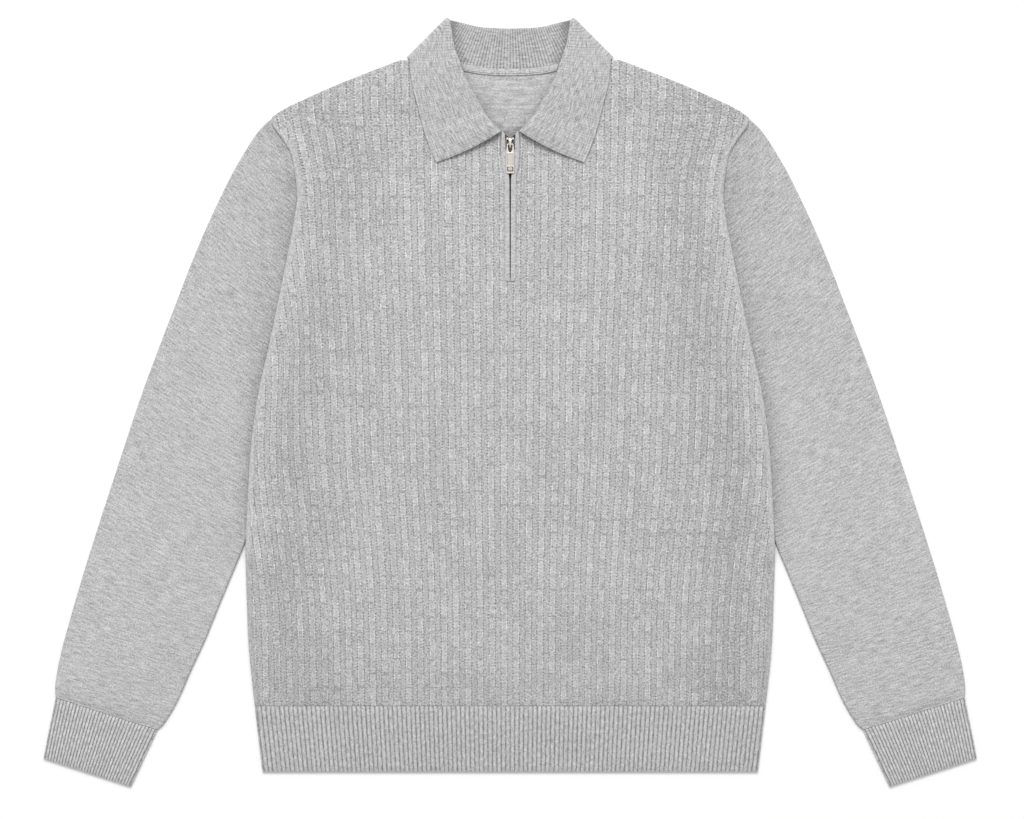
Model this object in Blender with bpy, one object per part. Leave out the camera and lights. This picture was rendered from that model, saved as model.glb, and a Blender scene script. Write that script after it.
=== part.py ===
"""Zip neck polo shirt of grey knit, laid flat on its back with its sleeves spread.

Run it with: blender --background --python part.py
X is across the garment, +Y points to the collar, +Z up. The surface that it lies on is z = 0.
All sizes below are millimetres. MM turns them into Blender's metres when a mesh is made.
"""

import math
from collections import namedtuple

import bmesh
import bpy
import numpy as np

for thing in list(bpy.data.objects):
    bpy.data.objects.remove(thing, do_unlink=True)

MM = 0.001

# Cloth
WALL = 1.8  # thickness of the knit
GAP = 0.3  # between pieces that are sewn together or lie on each other
LAYER = WALL + GAP  # from one layer of cloth to the next
RELIEF = 0.5  # how far a rib stands above the cloth between ribs
TUBE_HIGH = 2 * WALL + GAP  # flattened tube of two layers
# The folded edge of a flattened tube, from its upper layer round to its lower one: how far in from
# the edge the outer and the inner face are, and how far up, as a share of the height
Turn = namedtuple("Turn", "outer_in outer_up inner_in inner_up")
FOLD_TURN = [
    Turn(1.4, 1.0, 2.9, 1.0),
    Turn(0.4, 0.82, 2.1, 0.72),
    Turn(0.0, 0.5, 1.8, 0.5),
    Turn(0.4, 0.18, 2.1, 0.28),
    Turn(1.4, 0.0, 2.9, 0.0),
]
SMOOTH_ANGLE = math.radians(35)

# Body: half width at each height, from the shoulder point down the armhole and side to the hem
Side = namedtuple("Side", "y half")
SIDES = [
    Side(275.5, 231.2),
    Side(268.0, 230.3),
    Side(256.2, 221.8),
    Side(240.7, 212.8),
    Side(224.2, 207.9),
    Side(207.7, 206.3),
    Side(196.0, 206.9),
    Side(178.6, 209.2),
    Side(143.7, 215.8),
    Side(109.7, 222.6),
    Side(61.2, 232.6),
    Side(2.0, 245.4),
    Side(-46.5, 251.7),
    Side(-95.0, 254.6),
    Side(-143.5, 256.6),
    Side(-192.0, 255.6),
    Side(-240.5, 253.5),
    Side(-294.8, 247.8),
]
BODY_HALF = 256.6  # widest half width of the body
STRAIGHT_HALF = 106.7  # ribs within this stay straight, those outside lean with the side
RIB_PITCH = 12.1
RIBS_EACH_SIDE = 21
RIB_FOOT = 0.29  # half width of a rib at its foot, in pitches
RIB_TOP = 0.21  # half width of a rib on top, in pitches

# Heights of the sections across the body, from the hem seam to the neck
ARMPIT = 58.0
SLIT_END = 120.4
SECTIONS = [
    -294.8, -240.0, -200.0, -163.0, -143.0, -124.0, -95.0, -40.0, 10.0, ARMPIT, 94.0, SLIT_END,
    145.0, 170.0, 193.0, 215.4, 230.0, 243.0, 256.0, 268.0, 278.0, 300.0, 320.0, 346.0,
]

# Shoulder line, from the neck side to the shoulder point
Point = namedtuple("Point", "x y")
SHOULDER = [
    Point(111.1, 329.9),
    Point(141.1, 318.3),
    Point(170.2, 306.6),
    Point(196.4, 295.0),
    Point(220.7, 283.3),
    Point(236.7, 271.7),
]
# Under the collar's side crease the panels end a little inside it
CREASE_TUCK = [Point(84.0, 343.7), Point(95.8, 330.6), Point(98.6, 330.4), Point(103.0, 332.4)]
NECK_EASE = 0.15  # the panels stay this much beyond the gap from the slanted neck seam
BACK_COLUMNS_NEAR = [0.0, 12.5]
BACK_COLUMNS_NECK = (25.0, 84.0, 11)  # from, to and count
BACK_COLUMNS_CREASE = [89.5, 95.8, 98.6, 103.0]
BACK_COLUMNS_SHOULDER = 11

# The front's side edge is turned and laps over the sleeve
LIP = 3.0  # how far it laps
LIP_FLAT = 4.5  # level strip along the edge
LIP_SLOPE = 10.0  # width of the slope behind it
LIP_ENDS = (-163.0, -141.0)  # it fades out here, where the sleeve leaves the body
TUCK_ENDS = (-150.0, -127.0)  # the back's edge comes out to the front's edge here
SIDE_TUCK = 0.5
ARMHOLE_EASE = 0.05  # the sleeve stays this much beyond the gap from the curved armhole

# The back leaf of the collar lies under the back, and lifts the layers above it
LIFT_STARTS = 278.0
LIFT_FULL = 300.0

# Sleeves
Outer = namedtuple("Outer", "y x")
SLEEVE_OUTER = [
    Outer(271.7, 236.7),
    Outer(260.1, 246.4),
    Outer(236.8, 261.4),
    Outer(213.5, 274.0),
    Outer(166.9, 295.9),
    Outer(120.4, 315.3),
    Outer(73.8, 332.7),
    Outer(27.3, 350.7),
    Outer(-42.6, 374.4),
    Outer(-112.4, 397.2),
    Outer(-182.3, 419.0),
    Outer(-228.8, 432.1),
    Outer(-252.1, 438.0),
    Outer(-275.4, 441.8),
]
# Rings of the sleeve after the armhole. bulge is how much of the armhole's curve a ring keeps.
# An inner_x of None is a point beside the body's edge.
Ring = namedtuple("Ring", "outer_y inner_x inner_y bulge loft")
SLEEVE_RINGS = [
    Ring(268.0, None, 54.0, 0.90, 0.0),
    Ring(236.8, None, 49.0, 0.62, 0.8),
    Ring(190.0, None, 43.0, 0.36, 1.5),
    Ring(143.7, None, 34.0, 0.18, 1.9),
    Ring(92.0, None, 22.0, 0.06, 2.0),
    Ring(44.0, None, 10.0, 0.0, 2.0),
    Ring(-3.0, None, -40.0, 0.0, 2.0),
    Ring(-55.0, None, -95.0, 0.0, 2.0),
    Ring(-84.0, None, -124.0, 0.0, 2.0),
    Ring(-98.0, 257.5, -136.7, 0.0, 2.0),
    Ring(-128.0, 270.1, -167.7, 0.0, 2.0),
    Ring(-157.0, 283.0, -198.8, 0.0, 2.0),
    Ring(-186.0, 295.6, -229.8, 0.0, 2.1),
    Ring(-216.0, 309.9, -260.8, 0.0, 2.2),
    Ring(-244.0, 322.6, -289.5, 0.0, 2.2),
    Ring(-264.0, 331.6, -305.4, 0.0, 1.8),
    Ring(-279.0, 338.4, -314.6, 0.0, 1.1),
]
# Soft folds on the upper layer: a ridge from one point to another
Fold = namedtuple("Fold", "x0 y0 x1 y1 wide high")
SLEEVE_FOLDS = [
    Fold(262.0, 180.0, 300.0, 60.0, 16.0, 0.9),
    Fold(300.0, -20.0, 365.0, -60.0, 14.0, 0.7),
    Fold(330.0, -150.0, 395.0, -200.0, 15.0, 0.8),
    Fold(345.0, -228.0, 380.0, -285.0, 12.0, 1.0),
    Fold(385.0, -215.0, 415.0, -280.0, 12.0, 0.9),
]
FOLD_END = 1.5  # a fold runs out past its ends over this many of its widths
CROWN = 0.7  # power that makes the sleeve's upper layer level in its middle

# Ribbed tubes: corners of a cuff, top line then bottom line, outer then inner
CUFF_TOP_OUTER = Point(441.4, -286.9)
CUFF_TOP_INNER = Point(342.5, -318.1)
CUFF_LOW_OUTER = Point(453.1, -345.4)
CUFF_LOW_INNER = Point(368.0, -372.9)
CUFF_RIBS = 30
HEM_TOP_Y = -295.1
HEM_LOW_Y = -358.3
HEM_TOP_HALF = 248.0
HEM_LOW_HALF = 240.6
HEM_RIBS = 112
BAND_RELIEF = 0.5
BAND_SETTLE = 0.2  # the grooves lie this much below the tube's height
BAND_GROOVE = 0.2  # each flank of a groove takes this share of a rib's pitch

# Collar, left half. The fold's middle line, the neck seam and the leaf's edge, each from the
# zip up to the crease at the side of the neck, then from the crease round to the back's middle.
FRONT_FOLD = [
    Point(9.6, 261.6),
    Point(21.5, 273.4),
    Point(31.9, 289.9),
    Point(42.2, 308.4),
    Point(50.3, 328.9),
    Point(55.2, 343.3),
    Point(59.9, 369.3),
]
FRONT_SEAM = [
    Point(13.0, 261.2),
    Point(24.0, 261.8),
    Point(36.0, 265.5),
    Point(50.0, 275.0),
    Point(63.0, 292.0),
    Point(74.0, 316.0),
    Point(83.9, 345.3),
]
FRONT_EDGE = [
    Point(72.1, 232.5),
    Point(77.9, 246.3),
    Point(85.0, 267.6),
    Point(90.0, 287.9),
    Point(95.4, 309.2),
    Point(97.5, 331.6),
]
BACK_FOLD = [
    Point(59.9, 369.3),
    Point(46.6, 366.2),
    Point(30.3, 362.3),
    Point(10.0, 360.9),
    Point(0.0, 360.6),
]
BACK_SEAM = [
    Point(83.9, 345.3),
    Point(62.0, 331.5),
    Point(44.0, 324.5),
    Point(25.0, 320.5),
    Point(0.0, 319.5),
]
BACK_EDGE = [
    Point(97.5, 331.6),
    Point(86.0, 315.0),
    Point(66.0, 306.5),
    Point(30.0, 304.5),
    Point(0.0, 304.3),
]
CREASE_TURN = math.radians(45)  # the side crease rises at this angle from X
FRONT_STATIONS = 9
CREASE_STATIONS = 7
BACK_STATIONS = 6
LEAF_EARLY = 8.0  # the leaf is lifted this far ahead of the panel under it

# Zip
SLIT_HALF = 0.6
SLIDER_HOLE_HALF = 4.9
HOLE_CLOSES = (215.4, 243.0)  # the slit widens between these heights
PUSHED_HALF = 18.0  # columns of the front within this make room for the hole
TAPE_HALF = 12.0
TAPE_INNER = 0.2
TAPE_THICK = 0.8
TAPE_ENDS = (119.0, 260.4)
ZIP_LIFT = TAPE_THICK + GAP
ZIP_LIFT_STARTS = 94.0
ZIP_LIFT_FLAT = 14.0
ZIP_LIFT_SLOPE = 6.0
Strip = namedtuple("Strip", "y inner outer")
PLACKET = [
    Strip(117.6, 0.25, 4.6),
    Strip(121.5, 1.0, 5.2),
    Strip(180.0, 1.0, 5.3),
    Strip(215.4, 1.1, 5.6),
    Strip(232.0, 4.4, 8.2),
    Strip(243.0, 5.1, 8.9),
    Strip(260.2, 5.1, 8.6),
]
PLACKET_THICK = 1.0
# Neck tape, one half: its lower line and its upper line, out from the back's middle
NECK_TAPE_LOW = [
    Point(0.0, 316.6),
    Point(12.0, 316.8),
    Point(26.0, 317.8),
    Point(36.0, 319.2),
    Point(43.8, 320.8),
]
NECK_TAPE_HIGH = [
    Point(0.0, 323.2),
    Point(12.0, 323.4),
    Point(26.0, 324.4),
    Point(37.0, 326.2),
    Point(46.4, 328.2),
]
NECK_TAPE_THICK = 1.0

# Slider and pull tab
SLIDER_LOW = 242.8
SLIDER_SHOULDER = 248.8
SLIDER_HIGH = 258.0
SLIDER_CORNER_X = 1.4
SLIDER_CORNER_Y = 2.0
SLIDER_HALF_TOP = 4.4
SLIDER_HALF_LOW = 3.4
SLIDER_BASE = LAYER + TAPE_THICK + GAP
SLIDER_TOP = 6.0
SLIDER_ROUNDING = 0.4
BRIDGE_HALF = 1.6
BRIDGE_LOW = 245.4
BRIDGE_HIGH = 257.0
BRIDGE_POST = 1.7
BRIDGE_CORNER = 1.6
BRIDGE_TOP = 9.4
BRIDGE_CEILING = 8.4
BRIDGE_FOOT = 5.5
PIVOT_Y = 249.9
PIVOT_Z = 7.2
BAR_HALF = 0.65
TAB_THICK = 1.2
TAB_HALF = 4.05
TAB_LOW = 221.4
TAB_CORNER = 0.8
TAB_NECK_X = (0.7, 1.7)  # the tab's upper corners are cut in two steps
TAB_NECK_Y = 1.2
EYE_HALF = 2.3
EYE_LOW = 242.1
EYE_CORNER_LOW = 0.8
EYE_CORNER_HIGH = 0.4
WINDOW_HALF = 3.1
WINDOW_Y = (223.2, 228.0)
CUTTER_REACH = 1.0  # a cutter stands out this far on both sides

GREY_BODY = (0.50, 0.495, 0.50, 1.0)
GREY_SLEEVE = (0.52, 0.515, 0.52, 1.0)
GREY_RIB = (0.45, 0.445, 0.45, 1.0)
NICKEL = (0.62, 0.59, 0.54, 1.0)


def make_material(name, colour, roughness, metallic=0.0):
    material = bpy.data.materials.new(name)
    material.use_nodes = True
    shader = material.node_tree.nodes["Principled BSDF"]
    shader.inputs["Base Color"].default_value = colour
    shader.inputs["Roughness"].default_value = roughness
    shader.inputs["Metallic"].default_value = metallic
    return material


def make_object(name, points, faces, material, origin=(0.0, 0.0, 0.0)):
    """A closed mesh from points in millimetres. Coinciding points are joined, and faces turned out."""
    mesh = bpy.data.meshes.new(name)
    mesh.from_pydata(((np.asarray(points) - origin) * MM).tolist(), [], faces)
    shape = bmesh.new()
    shape.from_mesh(mesh)
    bmesh.ops.remove_doubles(shape, verts=shape.verts, dist=1e-6)
    if shape.calc_volume(signed=True) < 0:
        bmesh.ops.reverse_faces(shape, faces=shape.faces)
    shape.to_mesh(mesh)
    shape.free()
    mesh.materials.append(material)
    mesh.shade_smooth()
    mesh.set_sharp_from_angle(angle=SMOOTH_ANGLE)
    thing = bpy.data.objects.new(name, mesh)
    thing.location = [value * MM for value in origin]
    bpy.context.scene.collection.objects.link(thing)
    return thing


def through(xs, ys, at):
    """Smooth curve through (xs, ys), read at at: each row's slope is that between its neighbours."""
    xs, ys, at = np.asarray(xs, float), np.asarray(ys, float), np.asarray(at, float)
    slopes = np.gradient(ys, xs)
    i = np.clip(np.searchsorted(xs, at) - 1, 0, len(xs) - 2)
    step = xs[i + 1] - xs[i]
    t = np.clip((at - xs[i]) / step, 0, 1)
    rise = (3 - 2 * t) * t * t
    return (ys[i] * (1 - rise) + ys[i + 1] * rise
            + step * slopes[i] * t * (1 - t) ** 2 - step * slopes[i + 1] * t * t * (1 - t))


def along(points, count):
    """count points evenly spaced on the smooth curve through a short table of points."""
    table = np.array(points, float)
    run = np.concatenate([[0], np.cumsum(np.hypot(*np.diff(table, axis=0).T))])
    at = np.linspace(0, run[-1], count)
    return np.stack([through(run, table[:, 0], at), through(run, table[:, 1], at)], axis=1)


def ease(low, high, value):
    """0 below low, 1 above high, and an S curve between."""
    t = np.clip((np.asarray(value, float) - low) / (high - low), 0, 1)
    return t * t * (3 - 2 * t)


def wall(name, low, high, material, kept=None):
    """A sheet between two grids of points, low and high, with a rim where the kept cells end."""
    rows, columns = low.shape[:2]
    if kept is None:
        kept = np.ones((rows - 1, columns - 1), bool)
    above = rows * columns
    edges, faces = set(), []
    for i, j in np.argwhere(kept).tolist():
        corners = [i * columns + j, i * columns + j + 1, (i + 1) * columns + j + 1, (i + 1) * columns + j]
        faces.append([above + corner for corner in corners])
        faces.append(corners[::-1])
        edges.update(zip(corners, corners[1:] + corners[:1]))
    for a, b in sorted(edges):
        if (b, a) not in edges:
            faces.append([a, b, above + b, above + a])
    points = np.concatenate([low.reshape(-1, 3), high.reshape(-1, 3)])
    used = np.unique(np.concatenate([np.asarray(face) for face in faces]))
    place = np.full(len(points), -1)
    place[used] = np.arange(len(used))
    return make_object(name, points[used], [place[face].tolist() for face in faces], material)


def tube(name, outer, inner, material):
    """A wall between an outer and an inner loop on each ring, open at both ends."""
    rings, count = outer.shape[:2]
    inside = rings * count
    faces = []
    for i in range(rings - 1):
        for j in range(count):
            a, b = i * count + j, i * count + (j + 1) % count
            faces.append([a, b, b + count, a + count])
            faces.append([inside + a + count, inside + b + count, inside + b, inside + a])
    for j in range(count):
        k = (j + 1) % count
        faces.append([inside + j, inside + k, k, j])
        a, b = (rings - 1) * count + j, (rings - 1) * count + k
        faces.append([a, b, inside + b, inside + a])
    return make_object(name, np.concatenate([outer.reshape(-1, 3), inner.reshape(-1, 3)]), faces, material)


def flattened(rings, heights):
    """Outer and inner loops of a tube of cloth that lies flat.

    rings holds each ring's points across in plan, and heights the top of the cloth at each of them.
    The two ends of a ring are its folded edges: there the wall turns round a half circle.
    """
    outer, inner = [], []
    for plan, height in zip(rings, heights):
        edge_in = [(plan[1] - plan[0]) / np.hypot(*(plan[1] - plan[0])),
                   (plan[-2] - plan[-1]) / np.hypot(*(plan[-2] - plan[-1]))]
        loops = [[], []]
        for start, end, turns in ((plan[0], 0, FOLD_TURN[::-1]), (plan[-1], 1, FOLD_TURN)):
            for turn in turns:
                loops[0].append([*(start + turn.outer_in * edge_in[end]), turn.outer_up * TUBE_HIGH])
                loops[1].append([*(start + turn.inner_in * edge_in[end]), WALL + turn.inner_up * GAP])
            across = range(1, len(plan) - 1) if end == 0 else range(len(plan) - 2, 0, -1)
            for k in across:
                top = height[k] if end == 0 else 0.0
                loops[0].append([*plan[k], top])
                loops[1].append([*plan[k], top - WALL if end == 0 else WALL])
        outer.append(loops[0])
        inner.append(loops[1])
    return np.array(outer), np.array(inner)


# ---------------------------------------------------------------- body panels

section_y = np.array(SECTIONS)
side_y = np.array([side.y for side in SIDES])[::-1]
side_half = np.array([side.half for side in SIDES])[::-1]
front_half = through(side_y, side_half, section_y)
tuck = SIDE_TUCK + (LIP - SIDE_TUCK) * ease(*TUCK_ENDS, section_y)
back_half = front_half - tuck


def lift(y):
    """How far the collar's back leaf lifts what lies on it: a level ramp, the same all across."""
    return LAYER * np.clip((y - LIFT_STARTS) / (LIFT_FULL - LIFT_STARTS), 0, 1)


def shoulder_line(x, seam):
    """Height of a panel's upper edge at x: neck seam, tuck under the collar's crease, shoulder."""
    seam = np.array(seam, float)
    away = np.gradient(seam, axis=0)
    away = np.stack([-away[:, 1], away[:, 0]], axis=1) / np.hypot(*away.T)[:, None]
    away *= np.sign(-away[:, 1:2] * seam[:, 1:2])
    neck = seam + away * (GAP + NECK_EASE)
    neck = neck[neck[:, 0] < CREASE_TUCK[0].x - 0.5]
    neck = neck[np.argsort(neck[:, 0])]
    xs = np.concatenate([[0.0], neck[:, 0], [p.x for p in CREASE_TUCK]])
    ys = np.concatenate([neck[:1, 1], neck[:, 1], [p.y for p in CREASE_TUCK]])
    line = np.interp(x, xs, ys)
    slope = through([p.x for p in SHOULDER], [p.y for p in SHOULDER], x)
    near = np.interp(x, [CREASE_TUCK[-1].x, SHOULDER[0].x], [CREASE_TUCK[-1].y, SHOULDER[0].y])
    return np.where(x < CREASE_TUCK[-1].x, line, np.where(x < SHOULDER[0].x, near, slope))


def panel_plan(columns, half, seam):
    """Plan of a body panel: columns lean with its side outside STRAIGHT_HALF and end at its upper edge."""
    def place(column, y):
        side = np.interp(y, section_y, half)
        lean = (side - STRAIGHT_HALF) / (BODY_HALF - STRAIGHT_HALF)
        out = np.abs(column)
        return np.sign(column) * np.where(
            out <= STRAIGHT_HALF, out, STRAIGHT_HALF + lean * (out - STRAIGHT_HALF))

    top = np.full(len(columns), section_y[-1])
    for _ in range(40):
        top = 0.5 * top + 0.5 * shoulder_line(np.abs(place(columns, top)), seam)
    y = np.minimum(section_y[:, None], top[None, :])
    return place(np.broadcast_to(columns, y.shape), y), y


front_neck = along(FRONT_SEAM, FRONT_STATIONS)
back_neck = along(BACK_SEAM, BACK_STATIONS)

# Back: plain inside, and flat on the surface outside
half_columns = np.concatenate([
    BACK_COLUMNS_NEAR, np.linspace(*BACK_COLUMNS_NECK), BACK_COLUMNS_CREASE,
    np.linspace(SHOULDER[0].x, BODY_HALF, BACK_COLUMNS_SHOULDER)])
back_columns = np.concatenate([-half_columns[:0:-1], half_columns])
back_x, back_y = panel_plan(back_columns, back_half, back_neck)
back_base = lift(back_y)
back_low = np.stack([back_x, back_y, back_base], axis=2)
back_high = np.stack([back_x, back_y, back_base + WALL], axis=2)
wall("back", back_low, back_high, make_material("back_knit", GREY_BODY, 0.9))

# Front: ribs raised on its upper face
rib_columns = [SLIT_HALF]
rib_high = [0.0]
for rib in range(RIBS_EACH_SIDE):
    middle = (rib + 0.5) * RIB_PITCH
    for offset, high in ((-RIB_FOOT, 0.0), (-RIB_TOP, 1.0), (RIB_TOP, 1.0), (RIB_FOOT, 0.0)):
        rib_columns.append(middle + offset * RIB_PITCH)
        rib_high.append(high)
rib_columns.append(BODY_HALF)
rib_high.append(0.0)
front_columns = np.concatenate([-np.array(rib_columns)[::-1], rib_columns])
front_rib = np.concatenate([rib_high[::-1], rib_high])
front_x, front_y = panel_plan(front_columns, front_half, front_neck)

hole = SLIT_HALF + (SLIDER_HOLE_HALF - SLIT_HALF) * np.clip(
    (front_y - HOLE_CLOSES[0]) / (HOLE_CLOSES[1] - HOLE_CLOSES[0]), 0, 1)
spread = hole + (np.abs(front_x) - SLIT_HALF) * (PUSHED_HALF - hole) / (PUSHED_HALF - SLIT_HALF)
front_x = np.where(np.abs(front_x) < PUSHED_HALF, np.sign(front_x) * spread, front_x)


def zip_lift(x, y, flat=ZIP_LIFT_FLAT):
    """How far the zip's tapes lift the cloth on them."""
    sideways = np.clip((flat + ZIP_LIFT_SLOPE - np.abs(x)) / ZIP_LIFT_SLOPE, 0, 1)
    return ZIP_LIFT * sideways * np.clip((y - ZIP_LIFT_STARTS) / (SLIT_END - ZIP_LIFT_STARTS), 0, 1)


def lip_rise(x, y, half):
    """How far the front's turned side edge is lifted to lap over the sleeve."""
    inside = np.interp(y, section_y, half) - np.abs(x)
    return LAYER * ease(*LIP_ENDS, y) * (1 - ease(LIP_FLAT, LIP_FLAT + LIP_SLOPE, inside))


front_base = LAYER + lift(front_y) + zip_lift(front_x, front_y) + lip_rise(front_x, front_y, front_half)
front_thick = WALL - RELIEF + RELIEF * front_rib[None, :]
front_thick = np.broadcast_to(front_thick, front_x.shape)
front_low = np.stack([front_x, front_y, front_base], axis=2)
front_high = np.stack([front_x, front_y, front_base + front_thick], axis=2)
kept = np.ones((len(SECTIONS) - 1, len(front_columns) - 1), bool)
kept[SECTIONS.index(SLIT_END):, len(rib_columns) - 1] = False
wall("front", front_low, front_high, make_material("front_knit", GREY_BODY, 0.9), kept)

# ---------------------------------------------------------------- sleeves


def cuff_step(point, other):
    """The point moved off the cuff's top line towards the sleeve by one gap."""
    line = np.array(other) - np.array(point)
    up = np.array([-line[1], line[0]]) / np.hypot(*line)
    return np.array(point) + GAP * up * np.sign(up[1])


def fold_height(x, y):
    """Height of the soft ridges: each falls off as a bell on both sides of its line and past its ends."""
    total = np.zeros_like(x)
    for fold in SLEEVE_FOLDS:
        run = np.array([fold.x1 - fold.x0, fold.y1 - fold.y0])
        length = np.hypot(*run)
        run = run / length
        on = (x - fold.x0) * run[0] + (y - fold.y0) * run[1]
        off = (x - fold.x0) * run[1] - (y - fold.y0) * run[0]
        past = np.maximum(0, np.maximum(-on, on - length))
        total += fold.high * np.exp(-(off / fold.wide) ** 2 - (past / (FOLD_END * fold.wide)) ** 2)
    return total


def sleeve(name, side):
    """A flattened tube of jersey from the armhole to the cuff. side is +1 or -1 along X."""
    armhole_rows = [i for i, y in enumerate(SECTIONS) if y >= ARMPIT]
    edge = np.stack([back_x[:, -1], back_y[:, -1]], axis=1)
    armhole = edge[armhole_rows]
    armhole = armhole[np.concatenate([[True], np.diff(armhole[:, 1]) > 1e-6])][::-1]
    line = np.gradient(armhole, axis=0)
    out = np.stack([-line[:, 1], line[:, 0]], axis=1) / np.hypot(*line.T)[:, None]
    armhole = armhole + (GAP + ARMHOLE_EASE) * out * np.sign(out[:, :1])
    chord = armhole[-1] - armhole[0]
    share = (armhole - armhole[0]) @ chord / (chord @ chord)
    bow = armhole - armhole[0] - share[:, None] * chord
    even = np.linspace(0, 1, len(share))
    outer_y = np.array([row.y for row in SLEEVE_OUTER])[::-1]
    outer_x = np.array([row.x for row in SLEEVE_OUTER])[::-1]
    rings, heights = [armhole], [np.full(len(share), TUBE_HIGH)]
    for i, ring in enumerate(SLEEVE_RINGS):
        start = np.array([through(outer_y, outer_x, ring.outer_y), ring.outer_y])
        inner_x = ring.inner_x
        if inner_x is None:
            inner_x = np.interp(ring.inner_y, edge[:, 1], edge[:, 0]) + GAP + ARMHOLE_EASE
        end = np.array([inner_x, ring.inner_y])
        blend = (i + 1) / len(SLEEVE_RINGS)
        across = (share * (1 - blend) + even * blend)[:, None]
        plan = start + across * (end - start) + ring.bulge * bow
        crown = (4 * across[:, 0] * (1 - across[:, 0])) ** CROWN
        folds = fold_height(plan[:, 0], plan[:, 1]) * min(1.0, ring.loft) * crown
        rings.append(plan)
        heights.append(TUBE_HIGH + ring.loft * crown + folds)
    top_outer = cuff_step(CUFF_TOP_OUTER, CUFF_TOP_INNER)
    top_inner = cuff_step(CUFF_TOP_INNER, CUFF_TOP_OUTER)
    rings.append(top_outer + even[:, None] * (top_inner - top_outer))
    heights.append(np.full(len(share), TUBE_HIGH))
    outer, inner = flattened(rings, heights)
    outer[:, :, 0] *= side
    inner[:, :, 0] *= side
    return tube(name, outer, inner, make_material(name + "_jersey", GREY_SLEEVE, 0.9))


# The wearer's left is at +X, because the front faces up
sleeve("sleeve_right", -1)
sleeve("sleeve_left", 1)

# ---------------------------------------------------------------- ribbed tubes


def ribbed_tube(name, top, low, ribs, material):
    """A flattened tube between two lines, each a pair of points. Its upper face has ribs with V grooves."""
    across, high = [0.0], [0.0]
    for rib in range(ribs):
        for offset, up in ((0.0, 0.0), (BAND_GROOVE, 1.0), (1 - BAND_GROOVE, 1.0)):
            across.append((rib + offset + 0.5) / (ribs + 1))
            high.append(up)
    across.extend([(ribs + 0.5) / (ribs + 1), 1.0])
    high.extend([0.0, 0.0])
    rings = []
    for start, end in (top, low):
        start, end = np.array(start), np.array(end)
        rings.append(start + np.array(across)[:, None] * (end - start))
    height = TUBE_HIGH - BAND_SETTLE + BAND_RELIEF * np.array(high)
    outer, inner = flattened(rings, [height, height])
    return tube(name, outer, inner, material)


for name, side in (("cuff_right", -1), ("cuff_left", 1)):
    corners = [(side * p.x, p.y) for p in (CUFF_TOP_OUTER, CUFF_TOP_INNER, CUFF_LOW_OUTER, CUFF_LOW_INNER)]
    ribbed_tube(name, corners[:2], corners[2:], CUFF_RIBS, make_material(name + "_rib", GREY_RIB, 0.9))
ribbed_tube("hem_band", [(-HEM_TOP_HALF, HEM_TOP_Y), (HEM_TOP_HALF, HEM_TOP_Y)],
            [(-HEM_LOW_HALF, HEM_LOW_Y), (HEM_LOW_HALF, HEM_LOW_Y)], HEM_RIBS,
            make_material("hem_rib", GREY_RIB, 0.9))

# ---------------------------------------------------------------- collar

FOLD_RADIUS = LAYER / 2  # middle of the wall where stand turns into leaf
CREASE_MIDDLE = 1.5 * LAYER + WALL / 2  # height of the side crease's axis, among four layers
LEAF_ACROSS = 5
STAND_ACROSS = 3
FOLD_ACROSS = 5


def collar_station(fold, seam, edge, bulge, turn, sideways, front):
    """Both faces of the collar across one station, from the neck seam over the fold to the leaf's edge.

    turn runs from 0 where the leaf lies on the stand, at the front, to half a turn where it lies
    under it, at the back. Between them the leaf goes round the side crease, out along sideways.
    """
    out = np.array([*(math.sin(turn) * sideways), math.cos(turn)])
    middle = np.array([0.0, 0.0, CREASE_MIDDLE])
    faces = [[], []]

    def add(plan, offset, normal):
        place = np.array([*plan, 0.0]) + middle + offset
        if front:
            early = lift(plan[1] + LEAF_EARLY) - LAYER
            place[2] += early + zip_lift(plan[0], plan[1], ZIP_LIFT_FLAT + 6.0)
        faces[0].append(place + normal * WALL / 2)
        faces[1].append(place - normal * WALL / 2)

    for t in np.linspace(0, 1, STAND_ACROSS + 1)[:-1]:
        add(seam + t * (fold - seam), FOLD_RADIUS * out, -out)
    for t in np.linspace(0, math.pi, FOLD_ACROSS):
        radial = -math.cos(t) * out + math.sin(t) * np.array([*bulge, 0.0])
        add(fold, 2 * FOLD_RADIUS * out + FOLD_RADIUS * radial, radial)
    for t in np.linspace(0, 1, LEAF_ACROSS + 1)[1:]:
        add(fold + t * (edge - fold), 3 * FOLD_RADIUS * out, out)
    return faces


def half_collar(side):
    """Stations of one half, from the zip round the neck to the middle of the back."""
    stations = []
    crease_out = np.array([math.sin(CREASE_TURN), math.cos(CREASE_TURN)])
    crease_up = np.array([-math.cos(CREASE_TURN), math.sin(CREASE_TURN)])
    fold = along(FRONT_FOLD, FRONT_STATIONS)
    seam = along(FRONT_SEAM, FRONT_STATIONS)
    edge = along(FRONT_EDGE, FRONT_STATIONS)
    line = np.gradient(fold, axis=0)
    square = np.stack([-line[:, 1], line[:, 0]], axis=1) / np.hypot(*line.T)[:, None]
    for i in range(FRONT_STATIONS - 1):
        stations.append((fold[i], seam[i], edge[i], square[i], 0.0, True))
    for turn in np.linspace(0, math.pi, CREASE_STATIONS):
        stations.append((fold[-1], seam[-1], edge[-1], crease_up, turn, False))
    fold = along(BACK_FOLD, BACK_STATIONS)
    seam = along(BACK_SEAM, BACK_STATIONS)
    edge = along(BACK_EDGE, BACK_STATIONS)
    line = np.gradient(fold, axis=0)
    square = np.stack([line[:, 1], -line[:, 0]], axis=1) / np.hypot(*line.T)[:, None]
    for i in range(1, BACK_STATIONS):
        stations.append((fold[i], seam[i], edge[i], square[i], math.pi, False))
    made = [collar_station(*row[:5], crease_out, row[5]) for row in stations]
    made = np.array(made)
    made[:, :, :, 0] *= side
    return made


right_half = half_collar(-1)
left_half = half_collar(1)
stations = np.concatenate([right_half, left_half[-2::-1]])
wall("collar", stations[:, 1], stations[:, 0], make_material("collar_rib", GREY_BODY, 0.9))

# ---------------------------------------------------------------- strips and zip


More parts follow.
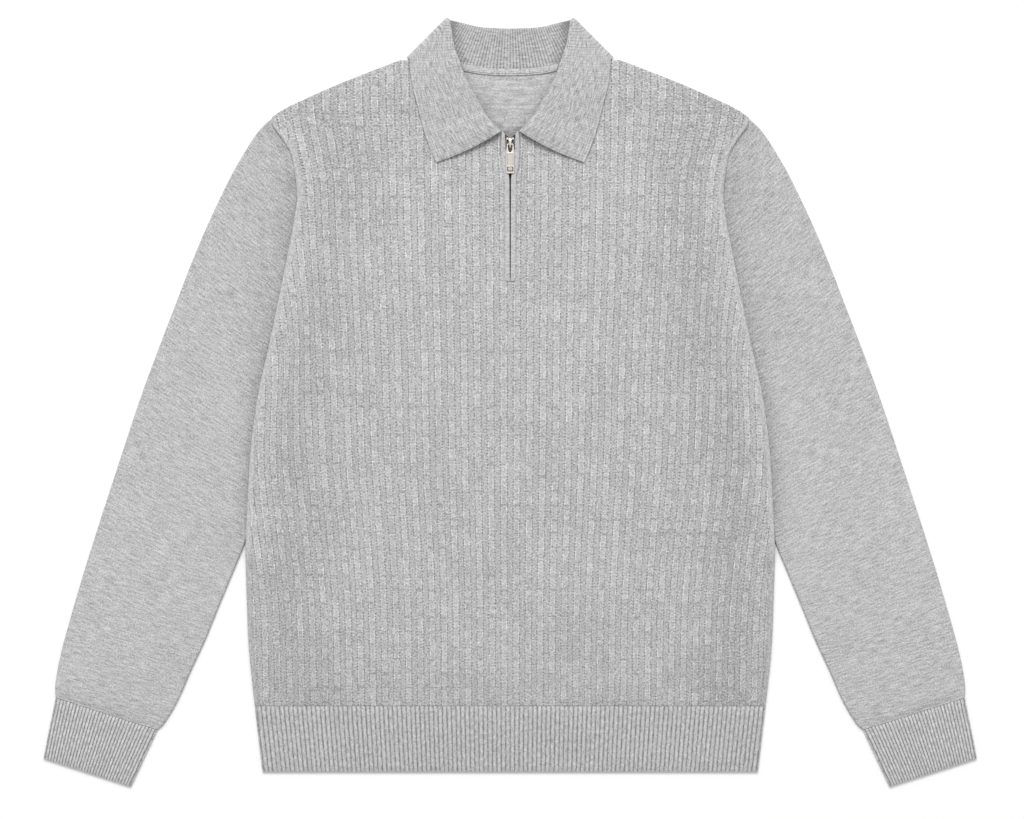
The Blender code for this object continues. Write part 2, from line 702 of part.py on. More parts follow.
def strip(name, plan_low, plan_high, base, thick, material):
    """A flat strip of cloth between two lines in plan."""
    rows = np.stack([np.asarray(plan_low, float), np.asarray(plan_high, float)], axis=1)
    low = np.concatenate([rows, np.full(rows.shape[:2] + (1,), base)], axis=2)
    high = low + np.array([0, 0, thick])
    return wall(name, low, high, material)


def both_sides(points):
    """A line drawn from the middle outwards, with its mirror image before it."""
    return [(-point.x, point.y) for point in points[:0:-1]] + [tuple(point) for point in points]


strip("neck_tape", both_sides(NECK_TAPE_LOW), both_sides(NECK_TAPE_HIGH), 2 * LAYER,
      NECK_TAPE_THICK, make_material("neck_tape_jersey", GREY_BODY, 0.9))

PLACKET_BASE = LAYER + ZIP_LIFT + LAYER
for name, side in (("placket_right", -1), ("placket_left", 1)):
    inner_line = [(side * row.inner, row.y) for row in PLACKET]
    outer_line = [(side * row.outer, row.y) for row in PLACKET]
    strip(name, inner_line, outer_line, PLACKET_BASE, PLACKET_THICK,
          make_material(name + "_knit", GREY_BODY, 0.9))
for name, side in (("zip_tape_right", -1), ("zip_tape_left", 1)):
    strip(name, [(side * TAPE_INNER, y) for y in TAPE_ENDS], [(side * TAPE_HALF, y) for y in TAPE_ENDS],
          LAYER, TAPE_THICK, make_material(name + "_weave", GREY_RIB, 0.8))


def mirrored(points):
    """A closed outline from its right half, drawn from its low end to its high end."""
    return points + [(-x, y) for x, y in points[::-1]]


def prism(name, outline, low, high, axis, origin=(0.0, 0.0, 0.0)):
    """An outline pulled along an axis: for X it is drawn in Y and Z, for Z it is drawn in X and Y."""
    def place(point, level):
        return (level, *point) if axis == "X" else (*point, level)

    count = len(outline)
    points = [place(p, low) for p in outline] + [place(p, high) for p in outline]
    faces = [list(range(count))[::-1], list(range(count, 2 * count))]
    faces += [[i, (i + 1) % count, (i + 1) % count + count, i + count] for i in range(count)]
    return make_object(name, points, faces, nickel, origin)


def combine(target, other, operation):
    """Joins other to target, or cuts it away, and keeps other as a hidden guide."""
    other.hide_render = True
    other.display_type = "WIRE"
    modifier = target.modifiers.new(operation.lower() + "_" + other.name, "BOOLEAN")
    modifier.operation = operation
    modifier.object = other


nickel = make_material("nickel", NICKEL, 0.35, 1.0)
slider = prism("slider", mirrored([
    (SLIDER_HALF_LOW, SLIDER_LOW),
    (SLIDER_HALF_TOP, SLIDER_SHOULDER),
    (SLIDER_HALF_TOP, SLIDER_HIGH - SLIDER_CORNER_Y),
    (SLIDER_HALF_TOP - SLIDER_CORNER_X, SLIDER_HIGH),
]), SLIDER_BASE, SLIDER_TOP, "Z")
rounding = slider.modifiers.new("rounding", "BEVEL")
rounding.width = SLIDER_ROUNDING * MM
rounding.segments = 2
rounding.limit_method = "ANGLE"
bridge = prism("slider_bridge", [
    (BRIDGE_LOW, BRIDGE_FOOT),
    (BRIDGE_LOW + BRIDGE_POST, BRIDGE_FOOT),
    (BRIDGE_LOW + BRIDGE_POST, BRIDGE_CEILING),
    (BRIDGE_HIGH - BRIDGE_POST, BRIDGE_CEILING),
    (BRIDGE_HIGH - BRIDGE_POST, BRIDGE_FOOT),
    (BRIDGE_HIGH, BRIDGE_FOOT),
    (BRIDGE_HIGH, BRIDGE_TOP - BRIDGE_CORNER),
    (BRIDGE_HIGH - BRIDGE_CORNER, BRIDGE_TOP),
    (BRIDGE_LOW + BRIDGE_CORNER, BRIDGE_TOP),
    (BRIDGE_LOW, BRIDGE_TOP - BRIDGE_CORNER),
], -BRIDGE_HALF, BRIDGE_HALF, "X")
combine(slider, bridge, "UNION")

# The tab's origin is on its pivot, inside the bridge
tab_high = PIVOT_Y + BAR_HALF
tab_base = PIVOT_Z - TAB_THICK / 2
tab = prism("pull_tab", mirrored([
    (TAB_HALF - TAB_CORNER, TAB_LOW),
    (TAB_HALF, TAB_LOW + TAB_CORNER),
    (TAB_HALF, EYE_LOW),
    (TAB_HALF - TAB_NECK_X[0], tab_high - TAB_NECK_Y),
    (TAB_HALF - TAB_NECK_X[1], tab_high),
]), tab_base, tab_base + TAB_THICK, "Z", (0.0, PIVOT_Y, PIVOT_Z))
eye_high = PIVOT_Y - BAR_HALF
eye = prism("pull_tab_eye", mirrored([
    (EYE_HALF - EYE_CORNER_LOW, EYE_LOW),
    (EYE_HALF, EYE_LOW + EYE_CORNER_LOW),
    (EYE_HALF, eye_high - EYE_CORNER_HIGH),
    (EYE_HALF - EYE_CORNER_HIGH, eye_high),
]), tab_base - CUTTER_REACH, tab_base + TAB_THICK + CUTTER_REACH, "Z")
window = prism("pull_tab_window", mirrored([
    (WINDOW_HALF, WINDOW_Y[0]),
    (WINDOW_HALF, WINDOW_Y[1]),
]), tab_base - CUTTER_REACH, tab_base + TAB_THICK + CUTTER_REACH, "Z")
combine(tab, eye, "DIFFERENCE")
combine(tab, window, "DIFFERENCE")
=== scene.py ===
"""Zip neck polo shirt of grey knit, laid flat: the look of each piece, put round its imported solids.

Sizes are millimetres in the tables below, and metres in the meshes. X is across the garment, +Y
points to the collar, +Z up. One half of the garment is given, and the other is its mirror image.
"""
import math

import bpy
import numpy as np
from mathutils import Matrix


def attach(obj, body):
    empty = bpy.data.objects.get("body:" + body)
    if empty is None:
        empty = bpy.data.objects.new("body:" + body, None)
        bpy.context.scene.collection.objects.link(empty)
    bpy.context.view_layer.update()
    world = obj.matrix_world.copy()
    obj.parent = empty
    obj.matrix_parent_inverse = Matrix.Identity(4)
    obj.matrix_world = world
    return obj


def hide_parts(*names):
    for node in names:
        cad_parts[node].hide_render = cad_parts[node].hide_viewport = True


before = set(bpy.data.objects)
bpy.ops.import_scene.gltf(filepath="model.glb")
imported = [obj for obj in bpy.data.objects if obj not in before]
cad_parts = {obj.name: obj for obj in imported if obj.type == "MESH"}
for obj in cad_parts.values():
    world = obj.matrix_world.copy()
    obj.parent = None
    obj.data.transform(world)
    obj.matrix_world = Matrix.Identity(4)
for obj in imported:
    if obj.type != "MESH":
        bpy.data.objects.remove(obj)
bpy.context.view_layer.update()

# ---------------------------------------------------------------- studio
# A pale paper floor, a wide soft lamp beyond the collar and an even sky, as for a catalogue picture.
# The camera looks straight down from far off, so that the panels keep their true proportions.
PICTURE = (1024, 819)
PIXEL = 0.00097  # metres of the garment to one pixel
MIDDLE = (510.2, 402.1)  # pixel under which the origin of the garment's plan lies
LENS = 85.0
SENSOR = 36.0


def aim(thing, place, target):
    """Puts thing at place with its -Z axis on target and its +Y axis as near to +Y as it goes."""
    away = np.array(place, float) - np.array(target, float)
    away /= np.linalg.norm(away)
    right = np.cross([0.0, 1.0, 0.0], away)
    right /= np.linalg.norm(right)
    up = np.cross(away, right)
    matrix = np.eye(4)
    matrix[:3, 0], matrix[:3, 1], matrix[:3, 2], matrix[:3, 3] = right, up, away, place
    thing.matrix_world = Matrix(matrix.tolist())


camera = bpy.data.objects.new("camera", bpy.data.cameras.new("camera"))
camera.data.lens = LENS
camera.data.sensor_width = SENSOR
camera.data.clip_end = 50.0
camera_x = (PICTURE[0] / 2 - MIDDLE[0]) * PIXEL
camera_y = (MIDDLE[1] - PICTURE[1] / 2) * PIXEL
camera.location = (camera_x, camera_y, PICTURE[0] * PIXEL * LENS / SENSOR + 0.004)
bpy.context.scene.collection.objects.link(camera)
bpy.context.scene.camera = camera

lamp = bpy.data.objects.new("soft_lamp", bpy.data.lights.new("soft_lamp", "AREA"))
lamp.data.shape = "RECTANGLE"
lamp.data.size = 3.2
lamp.data.size_y = 2.2
lamp.data.energy = 190.0
aim(lamp, (-0.2, 3.0, 3.9), (0.0, 0.0, 0.0))
bpy.context.scene.collection.objects.link(lamp)

sky = bpy.data.worlds.new("even_sky")
sky.use_nodes = True
sky.node_tree.nodes["Background"].inputs["Color"].default_value = (1.0, 1.0, 1.0, 1.0)
sky.node_tree.nodes["Background"].inputs["Strength"].default_value = 0.62
bpy.context.scene.world = sky
bpy.context.scene.view_settings.view_transform = "Standard"

MM = 0.001


class Value:
    """What a material works out at each point of a surface. Arithmetic on it adds nodes."""

    def __init__(self, socket):
        self.socket = socket
        self.tree = socket.id_data

    def __add__(self, other):
        return maths("ADD", self, other)

    def __sub__(self, other):
        return maths("SUBTRACT", self, other)

    def __rsub__(self, other):
        return maths("SUBTRACT", other, self)

    def __mul__(self, other):
        return maths("MULTIPLY", self, other)

    def __truediv__(self, other):
        return maths("DIVIDE", self, other)

    def __abs__(self):
        return maths("ABSOLUTE", self)


class Outputs:
    """A node's values, by number or by name."""

    def __init__(self, sockets):
        self.sockets = sockets

    def __getitem__(self, key):
        return Value(self.sockets[key])


def add(tree, kind, inputs=None, **settings):
    """A new node of that kind. inputs gives its sockets a constant or another node's value."""
    made = tree.nodes.new("ShaderNode" + kind)
    for key, value in settings.items():
        setattr(made, key, value)
    for key, value in (inputs or {}).items():
        if isinstance(value, Value):
            tree.links.new(value.socket, made.inputs[key])
        else:
            made.inputs[key].default_value = value
    return Outputs(made.outputs)


def maths(operation, *values):
    """One step of arithmetic on values or numbers."""
    tree = next(value.tree for value in values if isinstance(value, Value))
    return add(tree, "Math", dict(enumerate(values)), operation=operation)[0]


def join(value, socket):
    """Feeds a value to a shader."""
    value.tree.links.new(value.socket, socket)


def lay(name, points, faces, corners, materials, slots, sharp=50.0, shade=None):
    """A mesh from points in millimetres. corners gives each face corner its place on the flat cloth.

    The faces are turned over together if the volume that they enclose comes out negative. shade is the
    painted shade: how much darker the cloth is painted at each point, in corners, beside edges and along
    seams where shade falls, and, where it is negative, how much lighter, a painted highlight.
    """
    points = np.asarray(points, float)
    a, b, c, d = (points[faces[:, k]] for k in range(4))
    volume = (np.cross(b - a, c - a) * (a + b + c)).sum() + (np.cross(c - a, d - a) * (a + c + d)).sum()
    if volume < 0:
        faces, corners = faces[:, ::-1], corners[:, ::-1]
    mesh = bpy.data.meshes.new(name)
    mesh.vertices.add(len(points))
    mesh.vertices.foreach_set("co", (points * MM).ravel())
    mesh.loops.add(faces.size)
    mesh.loops.foreach_set("vertex_index", np.ascontiguousarray(faces).ravel())
    mesh.polygons.add(len(faces))
    mesh.polygons.foreach_set("loop_start", np.arange(0, faces.size, 4))
    mesh.polygons.foreach_set("loop_total", np.full(len(faces), 4))
    mesh.polygons.foreach_set("material_index", slots)
    mesh.uv_layers.new(name="cloth")
    mesh.uv_layers["cloth"].data.foreach_set("uv", np.ascontiguousarray(corners, float).ravel())
    if shade is not None:
        value = np.ascontiguousarray(shade, float)
        mesh.attributes.new("shade", "FLOAT", "POINT").data.foreach_set("value", value)
    mesh.update(calc_edges=True)
    mesh.validate()
    mesh.shade_smooth()
    mesh.set_sharp_from_angle(angle=math.radians(sharp))
    for material in materials:
        mesh.materials.append(material)
    thing = bpy.data.objects.new(name, mesh)
    bpy.context.scene.collection.objects.link(thing)
    return thing


def blank(name):
    """A new material, its node tree and its shader."""
    material = bpy.data.materials.new(name)
    material.use_nodes = True
    return material, material.node_tree, material.node_tree.nodes["Principled BSDF"]


paper, paper_tree, paper_shader = blank("paper")
paper_shader.inputs["Roughness"].default_value = 1.0
paper_shader.inputs["Specular IOR Level"].default_value = 0.0
paper_place = add(paper_tree, "TexCoord")["Object"]
paper_grain = add(paper_tree, "TexNoise", {"Vector": paper_place, "Scale": 220.0, "Detail": 3.0})["Fac"]
paper_tone = add(paper_tree, "MapRange", {"Value": paper_grain, "To Min": 0.895, "To Max": 0.915})[0]
join(paper_tone, paper_shader.inputs["Base Color"])
FLOOR_HALF = 6000.0
FLOOR_DEPTH = 0.2  # the paper lies this far under the garment
floor_points = np.array([[-1, -1, 0], [1, -1, 0], [1, 1, 0], [-1, 1, 0]]) * FLOOR_HALF - [0, 0, FLOOR_DEPTH]
floor_faces = np.array([[0, 1, 2, 3]])
floor = lay("floor", floor_points, floor_faces, floor_points[floor_faces][:, :, :2], [paper], [0])

# ---------------------------------------------------------------- back
# One knitted panel of cotton and viscose, face down on the floor. Its plain reverse shows in the
# neck opening. It is cut in to the armholes and linked to the sleeves, the front and the hem band.
WALL = 1.8
GAP = 0.3
LAYER = WALL + GAP
TUBE_HIGH = 2 * WALL + GAP
# the shoulder point, the armhole and the side, down to the hem
SIDES = np.array([  # y, half width
    (275.5, 231.2), (268.0, 230.3), (256.2, 221.8), (240.7, 212.8), (224.2, 209.4), (207.7, 207.1),
    (196.0, 206.9), (178.6, 209.2), (143.7, 215.8), (109.7, 222.6), (61.2, 232.6), (2.0, 245.4),
    (-46.5, 251.7), (-95.0, 254.6), (-143.5, 256.6), (-192.0, 255.6), (-240.5, 253.5), (-294.8, 247.8),
])[::-1]
BODY_LOW = -294.8
BODY_HALF = 256.6
RIB_PITCH = 11.65
PITCHES = np.array([  # y, pitch of the ribs at that height
    (-294.8, 11.55), (-206.0, 11.65), (-42.0, 12.55), (36.0, 12.75), (162.0, 13.25), (346.0, 13.6),
])
ARM_PRESS = 8.0  # the ribs are pressed in this far under the arm
SHOULDER_LEAN = 14.0  # and lean out this far at the shoulder
EDGE_ZONE = 7.2  # grid columns within this follow the edge, and the others the ribs
ARMPIT = 58.0
SHOULDER = np.array([  # x, y
    (111.1, 329.9), (141.1, 318.3), (170.2, 306.6), (196.4, 295.0), (220.7, 283.3), (236.7, 271.7),
])
CREASE_TUCK = np.array([(84.0, 343.7), (95.8, 330.6), (98.6, 330.4), (103.0, 332.4)])
BACK_SEAM = np.array([(83.9, 345.3), (62.0, 331.5), (44.0, 324.5), (25.0, 320.5), (0.0, 319.5)])
NECK_EASE = 0.45
LIP = 3.0  # the front laps over the sleeve this far
TUCK = (-150.0, -127.0)  # below this the back comes out to the front's edge
SIDE_TUCK = 0.5
LEAF_RAMP = (278.0, 300.0)  # the collar's back leaf lies under the back from here up


def through(xs, ys, at):
    """Smooth curve through a table: cubic pieces whose slope at a row is that between its neighbours."""
    xs, ys, at = np.asarray(xs, float), np.asarray(ys, float), np.asarray(at, float)
    slopes = np.gradient(ys, xs, axis=0)
    i = np.clip(np.searchsorted(xs, at) - 1, 0, len(xs) - 2)
    step = (xs[i + 1] - xs[i]).reshape(at.shape + (1,) * (ys.ndim - 1))
    t = np.clip((at - xs[i]) / (xs[i + 1] - xs[i]), 0, 1).reshape(step.shape)
    rise = (3 - 2 * t) * t * t
    bend = t * (1 - t) ** 2 * slopes[i] - t * t * (1 - t) * slopes[i + 1]
    return ys[i] * (1 - rise) + ys[i + 1] * rise + step * bend


def along(points, count):
    """count points evenly spaced on the smooth curve through a short table of points."""
    run = np.concatenate([[0], np.cumsum(np.hypot(*np.diff(points, axis=0).T))])
    return through(run, points, np.linspace(0, run[-1], count))


def ease(low, high, value):
    """0 below low, 1 above high, and an S curve between."""
    t = np.clip((np.asarray(value, float) - low) / (high - low), 0, 1)
    return t * t * (3 - 2 * t)


def bell(offset, wide):
    """1 at no offset, falling off on both sides over about wide."""
    return np.exp(-(offset / wide) ** 2)


def unit(vectors):
    """Vectors made one long."""
    return vectors / np.linalg.norm(vectors, axis=-1, keepdims=True)


def lift(y):
    """The collar's back leaf lifts what lies on it: a level ramp, the same all across."""
    return LAYER * np.clip((y - LEAF_RAMP[0]) / (LEAF_RAMP[1] - LEAF_RAMP[0]), 0, 1)


def front_half(y):
    return through(SIDES[:, 0], SIDES[:, 1], y)


def back_half(y):
    """The back's edge is tucked in under the front's where the sleeve is, and a little elsewhere."""
    return front_half(y) - SIDE_TUCK - (LIP - SIDE_TUCK) * ease(*TUCK, y)


def top_line(x, seam):
    """Height of a panel's upper edge at x: neck seam, tuck under the collar's crease, shoulder."""
    across = np.gradient(seam, axis=0)
    away = unit(np.stack([-across[:, 1], across[:, 0]], axis=1))
    away *= np.sign(-away[:, 1:2])
    neck = seam + away * NECK_EASE
    neck = neck[neck[:, 0] < CREASE_TUCK[0, 0] - 0.5]
    neck = neck[np.argsort(neck[:, 0])]
    low = np.concatenate([[(0.0, neck[0, 1])], neck, CREASE_TUCK, SHOULDER[:1]])
    return np.where(x < SHOULDER[0, 0], np.interp(x, *low.T), through(*SHOULDER.T, x))


def panel(columns, steps, top_steps, half, seam):
    """Plan of a body panel on a grid of columns and rows, how far each point is below its top, and its
    place across the cloth.

    A rib keeps to the pitch of its height, is pressed in a little where the side is cut in under the
    arm, and leans out to the shoulder. A column follows its rib until the edge cuts it off, and runs
    beside the edge from there. The rows are evenly spaced from the hem to a line parallel to the
    upper edge, and at top_steps below it from there.
    """
    def place(column, y):
        wide, edge = np.abs(column), half(y)
        free = wide * through(*PITCHES.T, y) / RIB_PITCH
        pressed = ARM_PRESS * ease(50.0, 0.0, edge - free) * bell(y - 40.0, 80.0)
        leant = SHOULDER_LEAN * ease(205.0, 290.0, y) * ease(90.0, 215.0, free)
        free = free - pressed + leant
        cut = np.minimum(free, edge - EDGE_ZONE - 0.02 * (BODY_HALF - wide))
        cut = np.where(wide > BODY_HALF - EDGE_ZONE, edge - (BODY_HALF - wide), cut)
        return np.sign(column) * cut, np.sign(column) * free

    top = np.full(len(columns), PITCHES[-1, 0])  # settled in small steps, as a column's x depends on it
    for _ in range(40):
        top = 0.5 * top + 0.5 * top_line(np.abs(place(columns, top)[0]), seam)
    even = np.linspace(0, 1, steps)[:, None]
    body_rows = BODY_LOW + even * (top - top_steps[0] - BODY_LOW)
    y = np.concatenate([body_rows, top - np.array(top_steps)[1:, None]])
    x, free = place(np.broadcast_to(columns, y.shape), y)
    return x, y, top - y, np.array([np.interp(*line, columns) for line in zip(x, free)])


def rib(u, foot, crest):
    """The knit's broad rib over u, distance across the cloth: 0 between ribs and 1 on a rib."""
    return 1 - ease(crest, foot, np.abs((np.abs(u) / RIB_PITCH) % 1 - 0.5))


def rounded(low, high, inside, radius):
    """The wall's two faces brought together in a half round at its edge."""
    t = np.clip(inside / radius, 0.06, 1)
    share = np.sqrt(1 - (1 - t) ** 2)
    middle = (low + high) / 2
    return middle + (low - middle) * share, middle + (high - middle) * share


def shell(name, low, high, plan, materials, slots=(0, 0), closed=False, kept=None, shade=0.0):
    """A closed wall between two grids of points, each (rows, columns, 3), with a rim at its edges.
    shade, the painted shade, is that of the high grid. slots are the materials of low grid, high grid and rim.

    plan (rows, columns or one more where the grid closes round, 2) is each point's place on the
    flat cloth. Cells that aren't kept are left out. An edge that only one cell has gets a rim face.
    """
    rows, columns = low.shape[:2]
    across = columns + 1 if closed else columns
    corner = np.arange(rows * across).reshape(rows, across)
    cells = np.stack([corner[:-1, :-1], corner[:-1, 1:], corner[1:, 1:], corner[1:, :-1]], axis=2)
    cells = cells.reshape(-1, 4) if kept is None else cells[kept]
    vertex = corner.ravel() // across * columns + corner.ravel() % across % columns
    plan = plan.reshape(-1, 2)
    turned = vertex[cells]
    count = rows * columns
    ends = np.stack([turned, np.roll(turned, -1, axis=1)], axis=2).reshape(-1, 2)
    where = np.stack([cells, np.roll(cells, -1, axis=1)], axis=2).reshape(-1, 2)
    alone = ~np.isin(ends @ [count, 1], ends @ [1, count])
    (a, b), (c, d) = ends[alone].T, where[alone].T
    rim = np.stack([a, b, b + count, a + count], axis=1)
    faces = np.concatenate([turned[:, ::-1], turned + count, rim])
    corners = np.concatenate([plan[cells[:, ::-1]], plan[cells], plan[np.stack([c, d, d, c], axis=1)]])
    points = np.concatenate([low.reshape(-1, 3), high.reshape(-1, 3)])
    used, faces = np.unique(faces, return_inverse=True)
    slot_of = np.concatenate([np.full(len(cells), slots[0]), np.broadcast_to(slots[1], len(cells)),
                              np.full(len(rim), slots[-1])])
    shade = np.concatenate([np.zeros(count), np.broadcast_to(shade, (rows, columns)).ravel()])[used]
    return lay(name, points[used], faces.reshape(-1, 4), corners, materials, slot_of, shade=shade)

def grids(x, y, *heights):
    """The points over a plan x, y at each of these heights, a grid for each."""
    return [np.stack(np.broadcast_arrays(x, y, height), axis=2) for height in heights]


def fit(piece, node, slot, body="garment", **cloth):
    """The piece stands for its solid and rides on a body. cloth, its flat cut, how it is held and
    what it rests on, is not used."""
    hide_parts(node)
    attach(piece, body)


def tint(shader, factor, first, second):
    """The shader's colour goes from first, where factor is 0, to second, where it is 1."""
    inputs = {"Factor": factor, "A": (*first, 1.0), "B": (*second, 1.0)}
    join(add(factor.tree, "Mix", inputs, data_type="RGBA")["Result"], shader.inputs["Base Color"])


def emboss(shader, height, distance, strength):
    """Bump of that height over the shader's surface."""
    bump = add(height.tree, "Bump", {"Height": height, "Distance": distance, "Strength": strength})[0]
    join(bump, shader.inputs["Normal"])
def heather(name, tones, flecks, pattern=None, bump=0.35, stitch=(1.25, 1.05), roughness=0.95):
    """Grey melange knit, read from the place on the flat cloth in millimetres.

    Its tone is the sum of noises drawn out along the yarn: flecks has a row for each, with its length
    and height in millimetres and its strength. pattern adds the tone and height of ribs or holes. The
    height of the stitches is a wave along each column of loops, bent to a V inside it.
    """
    material, tree, shader = blank(name)
    cloth = add(tree, "UVMap", uv_map="cloth")["UV"]
    u, v, _ = add(tree, "SeparateXYZ", {0: cloth})
    tone = 0.5
    for seed, (long, high, strength) in enumerate(flecks):
        drawn = add(tree, "Mapping", {"Vector": cloth, "Location": (7.3 * seed, 3.1 * seed, 0.0),
                                      "Scale": (1 / long, 1 / high, 1.0)})[0]
        noise = add(tree, "TexNoise", {"Vector": drawn, "Scale": 1.0, "Detail": 1.0, "Distortion": 0.3},
                    noise_dimensions="2D")["Fac"]
        tone = (noise - 0.5) * strength + tone
    wale = maths("PINGPONG", u / stitch[0], 0.5)
    course = wale * 0.9 + v / stitch[1]
    loops = maths("SINE", course * math.tau)
    height = (loops * 0.5 + wale) * 0.22
    if pattern:
        tone, height = pattern(u, v, tone, height)
    # the mesh's shade attribute is painted shade taken off the tone; where negative, a painted highlight
    tone = tone - add(tree, "Attribute", attribute_name="shade")["Fac"]
    tint(shader, tone, *tones)
    emboss(shader, height, 0.001, bump)
    shader.inputs["Roughness"].default_value = roughness
    shader.inputs["Specular IOR Level"].default_value = 0.25
    shader.inputs["Sheen Weight"].default_value = 0.12
    shader.inputs["Sheen Roughness"].default_value = 0.6
    return material


def mottle(x, y, detail=1.0):
    """Smooth noise over two coordinates that are already divided by the size of its lumps."""
    inputs = {"Vector": add(x.tree, "CombineXYZ", {0: x, 1: y})[0], "Scale": 1.0, "Detail": detail}
    return add(x.tree, "TexNoise", inputs, noise_dimensions="2D")["Fac"]


def chance(x, y):
    """A number between 0 and 1 drawn for each pair of whole coordinates."""
    place = add(x.tree, "CombineXYZ", {0: x, 1: y})[0]
    return add(x.tree, "TexWhiteNoise", {"Vector": place}, noise_dimensions="2D")["Value"]


def spots(value, low, high):
    """1 where value is below low, 0 above high, and smooth between."""
    inputs = {"Value": value, "From Min": low, "From Max": high, "To Min": 1.0, "To Max": 0.0}
    return add(value.tree, "MapRange", inputs, interpolation_type="SMOOTHSTEP")[0]


def near(value, middle, low, high):
    """1 where value is within low of middle, 0 where it is further off than high."""
    return spots(abs(value - middle), low, high)


def clamped(value, low, high):
    """0 where value is below low, 1 above high, and straight between."""
    return add(value.tree, "MapRange", {"Value": value, "From Min": low, "From Max": high})[0]


def rib_and_holes(u, v, tone, height):
    """Light raised ribs of uneven blocks, with a line of small holes at each side of a rib.

    The distance across is folded into one rib. The blocks of all ribs lie in rows, a little out of
    step, each block in its own tone and with a dark line between two. The ribs are painted lighter,
    painted light on their raised tops. The holes are a wave along the rib times a narrow band at each
    of its sides; they are dented in the bump and painted dark, painted shade in them. Where a noise
    passes its middle value runs a thin loose thread, light or dark.
    """
    column = u / RIB_PITCH
    number = maths("FLOOR", column)
    out = abs(maths("FRACT", column) - 0.5)
    crest = spots(out, 0.19, 0.27)
    shift = add(u.tree, "TexWhiteNoise", {"W": number}, noise_dimensions="1D")["Value"]

    def uneven(across, length, scale):
        row = shift * 40.0 + v / length
        return mottle(across * scale, row)

    def from_half(value):
        return abs(maths("FRACT", value) - 0.5)

    lump = crest * clamped(uneven(number, 4.6, 5.3), 0.44, 0.6)
    wisp = near(uneven(number, 4.2, 9.1), 0.5, 0.006, 0.035) * crest
    rows = v / ROW_PITCH
    stepped = uneven(number, 4.2, 24.0) * 0.7 + rows
    block = chance(number, maths("FLOOR", stepped))
    block = (block - 0.4) * crest
    beside = 0.5 - from_half(stepped)
    joint = spots(beside, 0.015, 0.065) * crest
    square = chance(maths("FLOOR", column + 0.5), maths("FLOOR", rows))
    between = 1.0 - crest
    square = (square - 0.5) * between
    fine = maths("MAXIMUM", uneven(u, 9.0, 0.7) - 0.42, 0.0)
    edge = spots(crest, 0.1, 0.6) * 0.25 + near(out, 0.2, 0.015, 0.065)
    edge = edge * fine
    beat = shift * 9.0 + v / 2.9
    hole = near(out, 0.265, 0.015, 0.062) * spots(from_half(beat), 0.08, 0.3)
    hole = hole * clamped(uneven(column, 3.2, 2.0), 0.34, 0.56)
    thread = mottle(u / 3.1, v / 3.6, 0.0)
    light, dark = (near(thread, middle, 0.008, 0.045) for middle in (0.56, 0.42))
    # crest: painted light on the rib tops; hole: painted shade in the holes
    for part, strength in ((lump, 0.09), (crest, 0.07), (block, 0.12), (square, 0.08), (joint, -0.20),
                           (wisp, -0.12), (edge, 1.5), (hole, -1.9), (light, 0.12), (dark, -0.16)):
        tone = part * strength + tone
    height = hole * -0.9 + (joint * -0.2 + height)
    return tone, height


ROW_PITCH = 13.6
GREY = ((0.235, 0.232, 0.236), (0.72, 0.712, 0.72))
BACK_GREY = ((0.225, 0.222, 0.226), (0.68, 0.672, 0.68))
BODY_FLECKS = [(1.4, 1.5, 1.15), (3.2, 1.3, 0.4), (60.0, 60.0, 0.10)]
REVERSE_FLECKS = [(13.0, 3.0, 0.8), (1.7, 1.3, 0.85), (40.0, 30.0, 0.10)]
body_knit = heather("body_knit", GREY, BODY_FLECKS, rib_and_holes, 0.5)
reverse_knit = heather("reverse_knit", BACK_GREY, REVERSE_FLECKS)

RIBS = 22
BODY_TOP_STEPS = (24.0, 21.0, 18.0, 15.5, 13.6, 12.6, 11.8, 11.0, 9.5, 7.5, 5.0, 2.5, 1.0, 0.0)
rib_steps = (np.arange(RIBS)[:, None] + [0.0, 0.2, 0.3, 0.7, 0.8]).ravel() * RIB_PITCH
rib_steps = rib_steps[rib_steps < BODY_HALF - EDGE_ZONE]
within = np.concatenate([rib_steps, BODY_HALF - np.array([6.0, 4.5, 3.0, 1.8, 0.9, 0.3, 0.0])])
back_columns = np.concatenate([-within[:0:-1], within])
back_grid = panel(back_columns, 110, BODY_TOP_STEPS, back_half, along(BACK_SEAM, 60))
back_x, back_y, back_down, back_across = back_grid
back_end = np.minimum(back_down, back_y - BODY_LOW) + 0.3  # from the upper or the lower edge
back_inside = np.minimum(back_half(back_y) - np.abs(back_x), back_end)
back_groove = 0.45 * (1 - rib(back_across, 0.30, 0.20)) * ease(2.0, 8.0, back_inside)
back_low, back_high = rounded(lift(back_y) + back_groove, lift(back_y) + WALL, back_inside, 1.2)
OPENING = np.array([  # y, half width of the neck opening
    (256.0, 3.0), (262.0, 8.0), (274.0, 19.5), (290.0, 30.0), (309.0, 40.0), (329.0, 48.0), (346.0, 53.0),
    (370.0, 57.9),
])
from_fold = through(*OPENING.T, back_y) - np.abs(back_x)
# painted shade on the back's reverse in the neck opening: darker beside the opening's folds, and much darker
# towards the bottom of the V
back_painted_shade = (0.16 * ease(12.0, 0.0, from_fold) + 0.42 * ease(275.0, 256.0, back_y)) * (back_y > 240.0)
back = shell("back_panel", *grids(back_x, back_y, back_low, back_high), np.stack([back_across, back_y], axis=2),
             [body_knit, reverse_knit], (0, 1), shade=back_painted_shade)
fit(back, "back", "body_knit", flat=(0.514, 0.640), held="laid")

